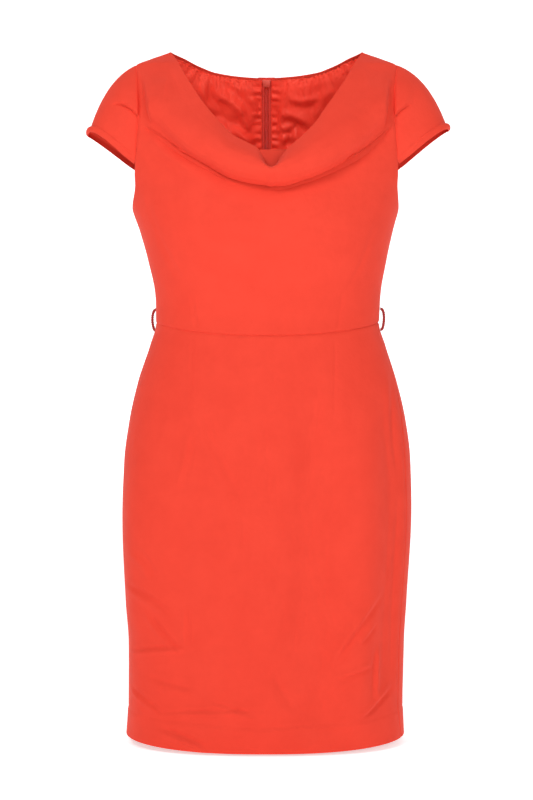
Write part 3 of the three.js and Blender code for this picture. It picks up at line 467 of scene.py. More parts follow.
def seamDip(distance, depth=seam["depth"]):
    # A crisp line at the seam in a broader soft hollow
    hollow = seam["hollow"] * bell(distance, seam["hollowReach"])
    return -depth * bell(distance, seam["reach"]) - hollow


def cutLengths(angle, z, centre=0.0):
    # The cloth's own measures: across from the centre line, and down from the shoulders
    return np.stack([lengthTo(angle, z, centre), z], -1)


def finishPiece(piece, node, body, material):
    piece.data.materials.append(material)
    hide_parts(node)
    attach(piece, body)


def clothPiece(node, kind, outer, normals, uv, thickness=cloth["thickness"], rim=3):
    ending, slot, material = kind
    piece = clothShell(f"{node}_{ending}", outer, normals, thickness, uv, rim)
    finishPiece(piece, node, "dress", material)


def setInputs(node, values):
    for name, value in values.items():
        node.inputs[name].default_value = value


def newMaterial(name, surface):
    material = bpy.data.materials.new(name)
    material.use_nodes = True
    setInputs(material.node_tree.nodes["Principled BSDF"], surface)
    return material


def makeFinish(name, finish):
    # A slow change between two colours, under bumps from the broadest to the finest
    material = newMaterial(name, finish["surface"])
    nodes, links = material.node_tree.nodes, material.node_tree.links
    shader = nodes["Principled BSDF"]
    place = nodes.new("ShaderNodeTexCoord").outputs["Object"]

    def noise(stretch, values):
        shape = nodes.new("ShaderNodeMapping")
        setInputs(shape, {"Scale": stretch})
        links.new(place, shape.inputs["Vector"])
        texture = nodes.new("ShaderNodeTexNoise")
        setInputs(texture, values)
        links.new(shape.outputs["Vector"], texture.inputs["Vector"])
        return texture.outputs["Fac"]

    ramp = nodes.new("ShaderNodeValToRGB")
    for stop, (position, colour) in zip(ramp.color_ramp.elements, finish["colours"]):
        stop.position, stop.color = position, (*colour, 1)
    links.new(noise(*finish["patches"]), ramp.inputs["Fac"])
    links.new(ramp.outputs["Color"], shader.inputs["Base Color"])
    below = None
    for stretch, values, strength, depth in finish["bumps"]:
        bump = nodes.new("ShaderNodeBump")
        setInputs(bump, {"Strength": strength, "Distance": depth})
        links.new(noise(stretch, values), bump.inputs["Height"])
        if below:
            links.new(below, bump.inputs["Normal"])
        below = bump.outputs["Normal"]
    links.new(below, shader.inputs["Normal"])
    return material


even = (1, 1, 1)
# Fine pebbly crepe: shallow dimples a finger wide, under a grain of short crossed threads
crepe = {
    "surface": {
        "Roughness": 0.72, "Sheen Weight": 0.05, "Sheen Roughness": 0.5,
        "Sheen Tint": (1.0, 0.55, 0.45, 1), "Specular IOR Level": 0.12,
    },
    "colours": ((0.35, (0.77, 0.052, 0.028)), (0.65, (0.80, 0.057, 0.031))),
    "patches": (even, {"Scale": 30, "Detail": 8, "Roughness": 0.6}),
    "bumps": (
        (even, {"Scale": 42, "Detail": 3}, 0.5, 0.0028),
        (even, {"Scale": 1 / 0.0011, "Detail": 3, "Distortion": 0.6}, 0.12, 0.0006),
    ),
}
# Thin lining with a soft shine and fine threads across
satin = {
    "surface": {
        "Roughness": 0.41, "Specular IOR Level": 0.38, "Specular Tint": (1.0, 0.5, 0.4, 1),
        "Sheen Weight": 0.1, "Sheen Tint": (1.0, 0.4, 0.3, 1),
    },
    "colours": ((0.4, (0.96, 0.055, 0.030)), (0.62, (1.0, 0.066, 0.037))),
    "patches": (even, {"Scale": 24}),
    "bumps": (((0.25, 1, 1), {"Scale": 1 / 0.0016}, 0.06, 0.0004),),
}
# Kinds of cloth: the ending of the piece's name, its slot and its material
dressCrepe = ("crepe", "crepe", makeFinish("red crepe", crepe))
liningSatin = ("satin", "lining_satin", makeFinish("lining satin", satin))
print("finishes made")


foldShare = onArmhole(0.615)
frontRows = {
    "seam": 62,
    "armhole": 46,
    "cowl": 84,
    "underLip": np.array([0.0012, 0.0026, 0.0042, 0.0062, 0.0085]),
    "neckEdge": np.array([0.004, 0.01, 0.02]),
}
frontTopShares = (0, shoulderShare, 1 - shoulderShare, 1)
frontAcross = softSteps(176, *frontTopShares)
cowlOut = makeCurve([row[0] for row in cowlSection], [row[1] / 1000 for row in cowlSection])
cowlDrop = makeCurve([row[0] for row in cowlSection], [row[2] / 1000 for row in cowlSection])

bodiceCreases = [
    (-95, -392, -102, -340, 2.2, -0.8, 0.2, 0, 0.12),
    (-102, -346, -162, -211, 3.2, -0.9, 0.2, -7, 0.5),
    (96, -392, 103, -340, 2.2, -0.8, 0.2, 0, 0.12),
    (103, -346, 150, -235, 3.2, -0.9, 0.2, 6, 0.5),
    (-158, -132, -92, -180, 7, 3, 0.9, 5, 0.4),
    (152, -150, 108, -178, 7, 1.6, 0.8, -4, 0.5),
]


def cowlFade(s):
    return smooth(cowl["fadeFrom"], cowl["fadeTo"], np.minimum(s, 1 - s))


def lipFade(s):
    # The fold itself runs on towards the armholes, lower than at the centre
    side = smooth(0.005, cowl["lipFadeTo"], np.minimum(s, 1 - s))
    return mix(cowlFade(s), 1, cowl["lipSide"] * side)


def bodiceFront():
    def sideUp(low, high, side):
        return lambda t: bodiceSide(mix(low, high, t), side, False)

    def waist(s):
        start, end = bodiceSide(0, -1, False)[0], bodiceSide(0, 1, False)[0]
        angle = mix(start, end, s)
        return angle, waistZ(angle) + cloth["seamGap"] / 2

    foldAngle, foldEndZ = bodiceSide(foldShare, 1, False)
    foldEnd = formPoint(foldAngle, foldEndZ)[0] * 1000
    foldRoute = route([(-foldEnd, foldEndZ * 1000), *cowlFold, (foldEnd, foldEndZ * 1000)])

    def fold(s):
        x, z = foldRoute(s)
        return angleAcross(x, z), z

    neck = route(cowlEdge)

    def top(s):
        return frontTop(neck, s)

    below = patch(sideUp(0, foldShare, -1), sideUp(0, foldShare, 1), waist, fold)
    above = patch(sideUp(foldShare, 1, -1), sideUp(foldShare, 1, 1), fold, top)
    s = frontAcross
    low = ordered(nearRows, np.linspace(0, underarmShare, frontRows["seam"]),
                  np.linspace(underarmShare, foldShare, frontRows["armhole"]),
                  foldShare - frontRows["underLip"]) / foldShare
    up = ordered(np.linspace(0, 1, frontRows["cowl"]), 1 - frontRows["neckEdge"])[1:]
    lowAngle, lowZ = below(s[None, :], low[:, None])
    # The lip takes the same length of cloth all along, however high the neck edge is above it
    span = top(s)[1] - fold(s)[1]
    lip = np.minimum(cowl["lipSpan"] / span, cowl["lipMost"])
    upper, share = up[:, None], cowl["lipShare"]
    drawn = np.where(upper < share, lip * upper / share,
                     mix(lip, 1, (upper - share) / (1 - share)))
    rise = mix(upper, drawn, lipFade(s))
    highAngle, highZ = above(np.broadcast_to(s, rise.shape), rise)
    angle = np.concatenate([lowAngle, highAngle])
    z = np.concatenate([lowZ, highZ])
    points = formPoint(angle, z)
    normals = formNormal(angle, z)
    level = normals.copy()
    level[..., 2] = 0
    level = unit(level)
    height = np.concatenate([np.zeros(len(low)), up])[:, None]
    nearLip = 1 - smooth(0.35, 0.8, height)
    fade = mix(cowlFade(s), lipFade(s), nearLip)
    fade = fade * (np.arange(len(height))[:, None] >= len(low) - 1)
    # Under the lip the bodice draws back: a broad hollow, and a narrow groove where the lip ends
    isLow = np.concatenate([low * 0 + 1, up * 0])[:, None]
    below = isLow * (fold(s)[1] - z)
    hollow = np.concatenate([smooth(1, 0.98, low), up * 0])[:, None] * bell(
        below - cowl["hollowAt"], cowl["hollowWidth"])
    groove = isLow * bell(below - cowl["grooveAt"] * lipFade(s), cowl["grooveWidth"])
    drawn = cowl["hollow"] * hollow + cowl["groove"] * groove
    points = points - level * (lipFade(s) * drawn)[..., None]
    points = points + level * (fade * cowlOut(height))[..., None]
    points[..., 2] -= fade * cowlDrop(height)
    own = gridNormals(points)
    blendOwn = smooth(-0.06, 0.02, np.concatenate([(low - 1), up])[:, None]) * lipFade(s)
    normals = unit(mix(normals, own, blendOwn[..., None]))
    normals[0] = unit(normals[0] * (1, 1, 0))
    return angle, z, points, normals


def edgeDistances(points):
    # Distances along the cloth to the first and last column and row
    across = np.concatenate([np.zeros((points.shape[0], 1)),
                             np.cumsum(np.linalg.norm(np.diff(points, axis=1), axis=-1), 1)], 1)
    up = np.concatenate([np.zeros((1, points.shape[1])),
                         np.cumsum(np.linalg.norm(np.diff(points, axis=0), axis=-1), 0)], 0)
    return across, across[:, -1:] - across, up, up[-1:] - up


angle, z, points, normals = bodiceFront()
left, right, low, high = edgeDistances(points)
lift = creaseRelief(points[..., 0], points[..., 2], bodiceCreases)
lift = lift + 0.0009 * lumps(points[..., 0], points[..., 2], 3, 0.16)
onShoulder = (frontAcross < shoulderShare) | (frontAcross > 1 - shoulderShare)
lift = lift + seamDip(left) + seamDip(right) + seamDip(low) + np.where(onShoulder, seamDip(high), 0)
clothPiece("bodice_front", dressCrepe, points + normals * lift[..., None], normals,
           cutLengths(angle, z))
print("front of the bodice made")


def zipEdgeGap(z):
    return 0.0002 + 0.0008 * bell(z + 0.032, 0.005)


def backPatch(side, neckDrop, centreEdge):
    edge = route(backNeck)

    def acrossBack(x, z):
        return angleAcross(side * np.maximum(x, centreEdge(z)), z, side)

    def top(s):
        s = np.asarray(s, float)
        seamAngleAt, seamZ = shoulderPlace(np.clip(s / (2 * shoulderShare), 0, 1), side, True)
        x, z = edge(np.clip((s - 2 * shoulderShare) / (1 - 2 * shoulderShare), 0, 1))
        z = z - neckDrop
        least = angleAtDepth(cloth["seamGap"] / 2, z, True)
        neckAngle = side * np.maximum(least, side * acrossBack(x, z))
        onSeam = s <= 2 * shoulderShare
        return np.where(onSeam, seamAngleAt, neckAngle), np.where(onSeam, seamZ - neckDrop, z)

    def sideEdge(t):
        angle, z = bodiceSide(t, side, True)
        return angle, z - neckDrop * np.asarray(t)

    def bottom(s):
        centre = acrossBack(0, heights["waistSide"] + heights["waistBackRise"])
        angle = mix(sideEdge(0)[0], centre, s)
        return angle, waistZ(angle) + cloth["seamGap"] / 2

    def middle(t):
        z = mix(waistZ(pi) + cloth["seamGap"] / 2, top(1)[1], t)
        return acrossBack(0, z), z

    return patch(sideEdge, middle, bottom, top, centre=side * pi)


def backGrid(side, neckDrop, centreEdge, across, up):
    # Angles and heights, with the columns running towards +X round the back on both sides
    angle, z = backPatch(side, neckDrop, centreEdge)(across[None, :], up[:, None])
    return (angle, z) if side > 0 else (angle[:, ::-1], z[:, ::-1])


backCreases = [
    (70, -392, 82, -300, 2.4, -0.9, 0.2, 0, 0.12),
    (82, -306, 98, -200, 3.4, -0.7, 0.2, 0, 0.5),
    (14, -342, 120, -330, 9, -1.6, 0.7, 6, 0.3),
    (20, -318, 104, -300, 8, -1.1, 0.7, -5, 0.3),
    (168, -210, 96, -240, 8, -1.5, 0.6, 5, 0.3),
    (162, -60, 92, -150, 10, 1.1, 0.6, -8, 0.3),
]
backAcross = softSteps(70, 0, 2 * shoulderShare, 1)
backUp = backRows(44, 66)


def bodiceBack(node, side):
    angle, z = backGrid(side, 0, zipEdgeGap, backAcross, backUp)
    points, normals = formPoint(angle, z), formNormal(angle, z)
    normals[0] = unit(normals[0] * (1, 1, 0))
    left, right, low, high = edgeDistances(points)
    x, height = side * points[..., 0], points[..., 2]
    # The wearer's right has the same pulls, shallower and bowed the other way
    depthShare, bowShare = (1, 1) if side > 0 else (0.8, -0.6)
    lift = creaseRelief(x, height, backCreases, depthShare, bowShare)
    lift = lift + 0.0009 * lumps(x, height, 5 + side, 0.14)
    lift = lift * smooth(0, 0.012, x)
    lift = lift + seamDip(left) + seamDip(right) + seamDip(low)
    shares = backAcross if side > 0 else backAcross[::-1]
    lift = lift + np.where(shares < 2 * shoulderShare, seamDip(high), 0)
    clothPiece(node, dressCrepe, points + normals * lift[..., None], normals,
               cutLengths(angle, z, side * pi))


bodiceBack("bodice_back_left", 1)
bodiceBack("bodice_back_right", -1)
print("backs of the bodice made")


skirt = {
    "creased": 0.45,
    "lowRows": 112,
    "highRows": 84,
    "nearHem": (0.0012, 0.003, 0.006),
    "nearWaist": (0.993, 0.9965, 0.9985),
    "hemTop": 0.040,
    "hemLift": 0.0005,
    "stitchesAt": 0.0385,
    "stitchDip": 0.0004,
}
skirtFolds = [
    # degrees round from the front, width in degrees, depth in mm, top and foot in mm
    (-62, 13, 4, -520, -960), (-30, 10, -3, -560, -960),
    (-6, 12, 2.5, -600, -960), (17, 9, -7, -450, -960),
    (36, 10, 6.5, -480, -960), (56, 8, -5.5, -440, -900),
    (120, 14, -5, -560, -960), (149, 12, 4.5, -520, -960),
    (-122, 14, 4.5, -600, -960), (-149, 12, -5, -540, -960),
]
skirtCreases = [
    (-100, -392, -102, -514, 1.6, -0.9, 0.3, 0, 0.25),
    (92, -392, 90, -527, 1.6, -0.9, 0.3, 0, 0.25),
    (72, -450, 52, -640, 17, -2.6, 0.5, 3, 0.3),
    (48, -600, 30, -870, 18, -3, 0.5, -9, 0.3),
    (-94, -525, -112, -606, 4, -1.3, 0.8, 0, 0.3),
    (-90, -494, -34, -616, 6, -1.8, 0.7, 4, 0.3),
    (-3, -500, 7, -655, 8, -0.9, 0.8, 0, 0.3),
    (-44, -590, -30, -700, 9, -0.9, 0.8, -4, 0.3),
    (-106, -765, -106, -822, 3, -1.4, 0.8, 0, 0.3),
    (-158, -774, -117, -824, 2.8, -2.4, 0.8, 2, 0.3),
    (-188, -738, -128, -776, 3.2, -2.2, 0.8, -3, 0.3),
    (-176, -690, -150, -728, 4.5, -1.8, 0.8, -4, 0.3),
    (-185, -829, -108, -817, 2.8, -1.9, 0.8, -2, 0.3),
    (-160, -858, -96, -872, 4.5, -1.6, 0.8, 3, 0.3),
    (-155, -910, -8, -900, 2.2, -1.2, 0.9, -3, 0.3),
    (-74, -888, -14, -907, 2.6, -1.4, 0.8, 0, 0.3),
    (-182, -878, -141, -908, 2.6, -2, 0.8, 0, 0.3),
    (-143, -928, -77, -952, 3.4, -2.4, 0.8, -2, 0.3),
    (8, -842, 44, -905, 6, -1.4, 0.8, 5, 0.3),
    (159, -750, 92, -848, 4, -2.8, 0.8, 5, 0.3),
    (149, -790, 124, -816, 2.6, -1.7, 0.8, 0, 0.3),
    (143, -845, 97, -863, 3, -2, 0.8, 0, 0.3),
    (153, -818, 148, -890, 3.6, 2.6, 0.8, 0, 0.3),
    (174, -877, 124, -916, 3.2, -2.4, 0.8, -2, 0.3),
    (171, -450, 184, -600, 3.5, -1.4, 0.7, 3, 0.3),
    (184, -600, 172, -880, 3.5, -1.4, 0.7, 2, 0.3),
]
skirtBackCreases = [
    (72, -388, 76, -500, 1.8, -0.9, 0.3, 0, 0.25),
    (20, -410, 128, -424, 7, -2, 0.8, 8, 0.3),
    (36, -436, 104, -442, 6, -1.3, 0.8, 6, 0.3),
    (52, -590, 46, -860, 13, -3.2, 0.6, 7, 0.3),
    (120, -560, 132, -760, 11, -2.6, 0.6, -6, 0.3),
    (30, -742, 92, -792, 3.4, -2.2, 0.8, 3, 0.3),
    (168, -800, 112, -846, 3.2, -2.4, 0.8, -3, 0.3),
    (150, -742, 96, -764, 3.6, -1.8, 0.8, 3, 0.3),
    (24, -904, 150, -908, 2.4, -1.3, 0.9, 3, 0.3),
    (60, -866, 120, -886, 3.2, -1.7, 0.8, -3, 0.3),
]


def skirtLift(angle, z):
    degrees = np.degrees(angle)
    lift = np.zeros(angle.shape)
    for at, width, depth, top, foot in skirtFolds:
        away = (degrees - at + 540) % 360 - 180
        top, foot = top / 1000, foot / 1000
        fade = smooth(-top, -top + 0.12, -z) * (1 - smooth(-foot - 0.06, -foot, -z))
        lift = lift + depth / 1000 * bell(away, width) * fade
    return lift


def skirtPanel(node, fromAngle, toAngle, across, creases, mirror, centre, seed):
    up = ordered(np.linspace(0, skirt["creased"], skirt["lowRows"]),
                 np.linspace(skirt["creased"], 1, skirt["highRows"]),
                 skirt["nearHem"], skirt["nearWaist"])
    s, t = np.meshgrid(across, up)

    def heightOf(angle):
        return mix(hemZ(angle), waistZ(angle) - cloth["seamGap"] / 2, t)

    guess = mix(fromAngle(heights["hemSide"]), toAngle(heights["hemSide"]), s)
    z = heightOf(guess)
    for _ in range(3):
        z = heightOf(mix(fromAngle(z), toAngle(z), s))
    angle = mix(fromAngle(z), toAngle(z), s)
    points, normals = formPoint(angle, z), formNormal(angle, z)
    normals[-1] = unit(normals[-1] * (1, 1, 0))
    left, right, low, high = edgeDistances(points)
    x = mirror * points[..., 0]
    lift = skirtLift(angle, z) + creaseRelief(x, z, creases) * smooth(0, 0.02, high)
    lift = lift + 0.0010 * lumps(points[..., 0], z, seed, 0.2)
    lift = lift * smooth(-0.004, 0.03, high)
    lift = lift + seamDip(left) + seamDip(right) + seamDip(high)
    # The turned-up hem: a little thicker, ending in a soft line of blind stitches
    lift = lift + skirt["hemLift"] * smooth(skirt["hemTop"], skirt["hemTop"] - 0.006, low)
    lift = lift - skirt["stitchDip"] * bell(low - skirt["stitchesAt"], 0.002)
    clothPiece(node, dressCrepe, points + normals * lift[..., None], normals,
               cutLengths(angle, z, centre))


def sideSeam(side, towardsBack):
    turn = (side if towardsBack else -side) * cloth["seamGap"] * 0.8
    return lambda z: seamAngle(z, side) + turn / form["halfWidth"](z)


def centreBack(side):
    def gap(z):
        return np.where(z > -0.56, zipEdgeGap(z), cloth["seamGap"] / 2)

    return lambda z: angleAcross(side * gap(np.asarray(z, float)), np.asarray(z, float), side)


skirtPanel("skirt_front", sideSeam(-1, False), sideSeam(1, False), softSteps(216, 0, 1),
           skirtCreases, 1, centre=0, seed=11)
skirtPanel("skirt_back_left", sideSeam(1, True), centreBack(1), softSteps(104, 0, 1),
           skirtBackCreases, 1, centre=pi, seed=12)
skirtPanel("skirt_back_right", centreBack(-1), sideSeam(-1, True), softSteps(90, 0, 1),
           skirtBackCreases, -1, centre=-pi, seed=13)
print("skirt made")


lining = {
    "zipEdge": 0.007,
    "slack": 0.045,  # how much larger than its space the loose satin is
    "frames": 22,
    "unevenness": 0.0004,
    "most": 0.009,  # how far it may stand in
    "least": 0.0011,  # and out, before it meets the crepe
    "pucker": 0.0022,
    "puckerPitch": 0.0115,
    "puckerReach": 0.009,
    "swell": 0.0012,
    "gather": 0.0002,
    "gatherPitch": 0.0075,
    "gatherAt": 0.011,
    "stitchesAt": 0.008,
    "stitchDip": 0.0006,
}
liningAcross = softSteps(70, 0, 2 * shoulderShare, 1)
liningUp = backRows(40, 66)
# Drapes of the satin on the wearer's right and left, with x counted from the zip. A ridge
# stands inwards.
rightDrapes = [
    (80, -40, 33, -73, 6.5, 5.2, 0.7, 4, 0.35),
    (96, -31, 76, -70, 5.5, 3.6, 0.7, -4, 0.3),
    (58, -82, 20, -108, 5.5, 4.2, 0.7, -4, 0.3),
    (26, -48, 16, -76, 5, 3, 0.6, 5, 0.3),
    (40, -56, 24, -96, 4.5, 2.6, 0.7, -6, 0.3),
    (88, -78, 52, -104, 6, 3.2, 0.7, 5, 0.3),
    (30, -118, 12, -160, 7, 3, 0.7, 5, 0.3),
    (120, -110, 60, -190, 12, 3, 0.6, -9, 0.3),
    (24, -220, 110, -250, 12, 3, 0.6, 9, 0.3),
    (18, -300, 90, -330, 10, 2.6, 0.6, -6, 0.3),
]
leftDrapes = [
    (22, -70, 72, -88, 5.5, 4.6, 0.7, -5, 0.35),
    (32, -47, 84, -44, 5, 3.4, 0.7, 7, 0.3),
    (24, -62, 16, -98, 4.5, 3.4, 0.6, -4, 0.3),
    (22, -90, 46, -82, 4, 3, 0.7, 2, 0.3),
    (46, -88, 60, -112, 5, 3.6, 0.7, 4, 0.3),
    (98, -36, 74, -78, 6, 3.4, 0.7, 5, 0.3),
    (20, -112, 44, -98, 4.5, 3, 0.7, -3, 0.3),
    (26, -150, 100, -186, 12, 3.2, 0.6, 9, 0.3),
    (16, -240, 96, -226, 12, 3, 0.6, -8, 0.3),
    (26, -310, 104, -290, 10, 2.6, 0.6, 7, 0.3),
]


def finer(grid):
    # Twice the rows and columns over the same ground
    for axis in (0, 1):
        at = np.arange(2 * grid.shape[axis] - 1) / 2
        low = np.minimum(at.astype(int), grid.shape[axis] - 2)
        share = (at - low).reshape([-1 if k == axis else 1 for k in range(grid.ndim)])
        grid = mix(np.take(grid, low, axis), np.take(grid, low + 1, axis), share)
    return grid


looseSatin = {
    "quality": 5,
    "mass": 0.12,
    "tension_stiffness": 14,
    "compression_stiffness": 14,
    "shear_stiffness": 3,
    "bending_stiffness": 0.03,
    "air_damping": 2,
    "vertex_group_mass": "held",
    "shrink_min": -lining["slack"],
    "shrink_max": -lining["slack"],
}


def settleLoose(points, seed):
    # The satin is held at its edges and settles under its own weight
    rows, columns = points.shape[:2]
    index = np.arange(rows * columns).reshape(rows, columns)
    random = np.random.default_rng(seed)
    start = points.reshape(-1, 3) + random.normal(0, lining["unevenness"], (rows * columns, 3))
    sheet = makeMesh("loose satin", start, gridFaces(index))
    held = sheet.vertex_groups.new(name="held")
    edge = np.unique(np.concatenate([index[0], index[-1], index[:, 0], index[:, -1]]))
    held.add(edge.tolist(), 1.0, "REPLACE")
    modifier = sheet.modifiers.new("settle", "CLOTH")
    for name, value in looseSatin.items():
        setattr(modifier.settings, name, value)
    modifier.collision_settings.use_collision = False
    modifier.point_cache.frame_start, modifier.point_cache.frame_end = 1, lining["frames"]
    for number in range(1, lining["frames"] + 1):
        bpy.context.scene.frame_set(number)
    settled = sheet.evaluated_get(bpy.context.evaluated_depsgraph_get())
    found = np.empty(rows * columns * 3)
    settled.data.vertices.foreach_get("co", found)
    bpy.data.objects.remove(sheet)
    bpy.context.scene.frame_set(1)
    return found.reshape(points.shape)


def backLining(node, side, drapes):
    angle, z = backGrid(side, cloth["liningDrop"], lambda z: lining["zipEdge"] + 0 * z,
                        liningAcross, liningUp)
    normals = formNormal(angle, z)
    base = formPoint(angle, z) - normals * cloth["liningInset"]
    points = base
    settled = settleLoose(base, 20 + side)
    moved = settled - base
    inwards = -(moved * normals).sum(-1)
    along = moved + normals * inwards[..., None]
    # It stays between the crepe and the hollow, and softens towards those limits
    most, least = lining["most"], lining["least"]
    inwards = np.where(inwards > 0, most * np.tanh(inwards / most),
                       -least * np.tanh(-inwards / least))
    calm = smooth(0, 0.03, np.abs(base[..., 0]) - lining["zipEdge"])[..., None]
    points = base + (along - normals * inwards[..., None]) * calm
    angle, z, points, normals, base = (finer(grid) for grid in (angle, z, points, normals, base))
    low, high = edgeDistances(base)[2:]
    held = smooth(0, 0.012, low) * smooth(0.001, 0.012, high)
    fromZip = np.abs(base[..., 0]) - lining["zipEdge"]
    random = np.random.default_rng(31 + side)
    wander = np.cumsum(random.normal(0, 0.3, len(z)))[:, None]
    # Puckers along the zip: uneven, slanted and curling over one another
    slant = 90 * lumps(fromZip, z, 61 + side, 0.045) * fromZip
    ripple = np.sin(z * 2 * pi / lining["puckerPitch"] + wander + slant)
    uneven = 0.55 + 0.9 * lumps(0 * z, z, 71 + side, 0.028)
    reach = lining["puckerReach"] * (1 + 0.4 * lumps(0 * z, z, 81 + side, 0.02))
    relief = lining["pucker"] * uneven * (np.abs(ripple) ** 0.7 * np.sign(ripple) + 0.5)
    relief = relief * bell(fromZip - 0.003, reach) * smooth(0, 0.002, fromZip)
    relief = relief + creaseRelief(np.abs(base[..., 0]), z, drapes) * smooth(0, 0.012, fromZip)
    swell = 1 + lumps(base[..., 0], z, 41 + side, 0.03)
    relief = relief + lining["swell"] * swell * smooth(0, 0.02, fromZip)
    # Gathers under the neck seam, and the dip of the stitching that holds it flat
    gathers = np.sin(base[..., 0] * 2 * pi / lining["gatherPitch"]
                     + 3 * lumps(base[..., 0], z, 51 + side, 0.05))
    relief = (relief * held + lining["gather"] * gathers * bell(high - lining["gatherAt"], 0.006)
              - lining["stitchDip"] * bell(high - lining["stitchesAt"], 0.0012))
    points = points - normals * relief[..., None]
    clothPiece(node, liningSatin, points, gridNormals(points), cutLengths(angle, z, side * pi),
               thickness=cloth["liningThickness"], rim=2)


backLining("lining_back_left", 1, leftDrapes)
backLining("lining_back_right", -1, rightDrapes)


facing = {"lowest": 0.78, "underarm": 0.13, "lowRows": 10, "highRows": 60}


def frontFacing():
    edge = route([(-x, z) for x, z in facingNeck] + facingNeck[::-1][1:])
    under, drop = facing["underarm"], cloth["liningDrop"]

    def sideUp(side):
        def place(t):
            t = np.asarray(t, float)
            share = np.where(t < under, underarmShare * mix(facing["lowest"], 1, t / under),
                             onArmhole((t - under) / (1 - under)))
            angle, z = bodiceSide(share, side, False)
            return angle, z - drop * t
        return place

    def bottom(s):
        start, end = sideUp(-1)(0), sideUp(1)(0)
        return mix(start[0], end[0], s), start[1] + 0 * s

    def top(s):
        angle, z = frontTop(edge, s)
        return angle, z - drop

    up = ordered(np.linspace(0, under, facing["lowRows"]),
                 np.linspace(under, 1, facing["highRows"]))
    angle, z = patch(sideUp(-1), sideUp(1), bottom, top)(frontAcross[None, :], up[:, None])
    normals = formNormal(angle, z)
    points = formPoint(angle, z) - normals * cloth["liningInset"]
    clothPiece("front_facing", dressCrepe, points, normals, cutLengths(angle, z),
               thickness=cloth["liningThickness"], rim=2)


frontFacing()
print("linings made")


sleeve = {
    "end": -0.160,
    "hemEnd": (0.182, -0.163),
    "hemDepth": 0.047,
    "bulge": (0.010, 0.008, 0.030),
    "tuckAt": 0.180,
    "tuckSlant": 0.21,
    "tuckStep": 0.0036,
    "tuckWidth": 0.007,
    "tuckFlat": 0.02,
    "tuckGone": 0.2,
    "tuckDip": 0.8,
    "tuckDipWidth": 0.0035,
    "hemBand": 0.0085,
    "hemBandLift": 0.0014,
    "tipRoll": 0.0034,
    "cutWidth": 0.32,
    "hemRowsFrom": 0.8,
    "nearSeam": (0.006, 0.012),
}
# What differs on the wearer's left, 1, and right, -1
sleeveSides = {
    1: {"tip": (0.254, -0.111), "frontBow": 0.0055, "backBow": -0.0045, "tuckEnd": 0.34},
    -1: {"tip": (0.249, -0.1185), "frontBow": 0.0095, "backBow": -0.003, "tuckEnd": 0.52},
}


def sleevePanel(node, side):
    reach = (armhole["middle"] - sleeve["end"]) / (armhole["middle"] - heights["underarm"])
    sleeveUp = 0.5 - math.asin(reach ** (armhole["lowerPower"] / 2)) / pi
    shares = softSteps(250, 0, 0.5, 1)
    ups = mix(sleeveUp, 1, 1 - np.abs(1 - 2 * shares))
    frontAngle, frontZ = armholeEdge(ups, False)
    backAngle, backZ = armholeEdge(ups, True)
    atBack = shares > 0.5
    angle, z = np.where(atBack, backAngle, frontAngle), np.where(atBack, backZ, frontZ)
    sewn, normal = formPoint(angle, z), formNormal(angle, z)
    sewn[shares == 0.5, 1] = 0
    along = unit(np.gradient(sewn, axis=0))
    outwards = unit(np.cross(normal, along))
    outwards = outwards * np.where(outwards[:, :1] < 0, -1, 1)
    start = sewn + outwards * cloth["seamGap"]
    turn = mix(-pi / 2, pi / 2, shares)
    lift = np.cos(turn)
    own = sleeveSides[side]
    (tipX, tipZ), (endX, endZ) = own["tip"], sleeve["hemEnd"]
    bow = np.where(atBack, own["backBow"], own["frontBow"])
    end = np.stack([mix(endX, tipX, lift ** 0.9), sleeve["hemDepth"] * np.sin(turn),
                    mix(endZ, tipZ, lift ** 0.9) - bow * np.sin(2 * turn)], -1)
    bulgeX, bulgeY, bulgeZ = sleeve["bulge"]
    control = (start + end) / 2
    control = control + np.stack([bulgeX * lift, bulgeY * np.sin(2 * turn), bulgeZ * lift ** 2], -1)
    hemFrom = sleeve["hemRowsFrom"]
    out = ordered(np.linspace(0, hemFrom, 38), np.linspace(hemFrom, 1, 34), sleeve["nearSeam"])
    t = out[:, None, None]
    points = start * (1 - t) ** 2 + control * 2 * t * (1 - t) + end * t * t
    normals = gridNormals(points)
    normals = normals * np.where((normals * normal).sum(-1, keepdims=True) < 0, -1, 1)
    normals[0] = normal
    t = out[:, None]
    tuck = np.zeros(points.shape[:2])
    for share in (shares, 1 - shares):
        off = share - sleeve["tuckAt"] - sleeve["tuckSlant"] * t
        step = smooth(0, sleeve["tuckWidth"], off)
        step = step * (1 - smooth(sleeve["tuckFlat"], sleeve["tuckGone"], off))
        step = step - sleeve["tuckDip"] * bell(off + 0.001, sleeve["tuckDipWidth"])
        fade = 1 - smooth(own["tuckEnd"] * 0.6, own["tuckEnd"] * 1.15, t)
        tuck = tuck + step * fade * smooth(0, 0.03, t)
    fromHem = np.linalg.norm(points - points[-1], axis=-1)
    across = np.clip(fromHem / sleeve["hemBand"] * 2 - 1, -1, 1)
    band = np.where(across < 0, 1, np.sqrt(1 - across ** 4))
    roll = np.sqrt(1 - across ** 2)
    full = smooth(0, 0.12, shares * (1 - shares) * 2)
    raised = sleeve["tuckStep"] * tuck + smooth(0, 0.3, t) * (
        sleeve["hemBandLift"] * band * full + sleeve["tipRoll"] * roll * lift ** 5)
    fromSeam = np.linalg.norm(points - points[0], axis=-1)
    raised = raised + seamDip(fromSeam, seam["sleeveDepth"])
    points = points + normals * raised[..., None]
    uv = np.stack([np.broadcast_to(shares * sleeve["cutWidth"], raised.shape), fromSeam], -1)
    # The rows run from the hem up, and the columns the other way on the wearer's right
    points, normals = points[::-1], normals[::-1]
    if side < 0:
        points, normals = points[:, ::-1] * (-1, 1, 1), normals[:, ::-1] * (-1, 1, 1)
    clothPiece(node, dressCrepe, points, normals, uv[::-1])


sleevePanel("sleeve_left", 1)
sleevePanel("sleeve_right", -1)
print("sleeves made")


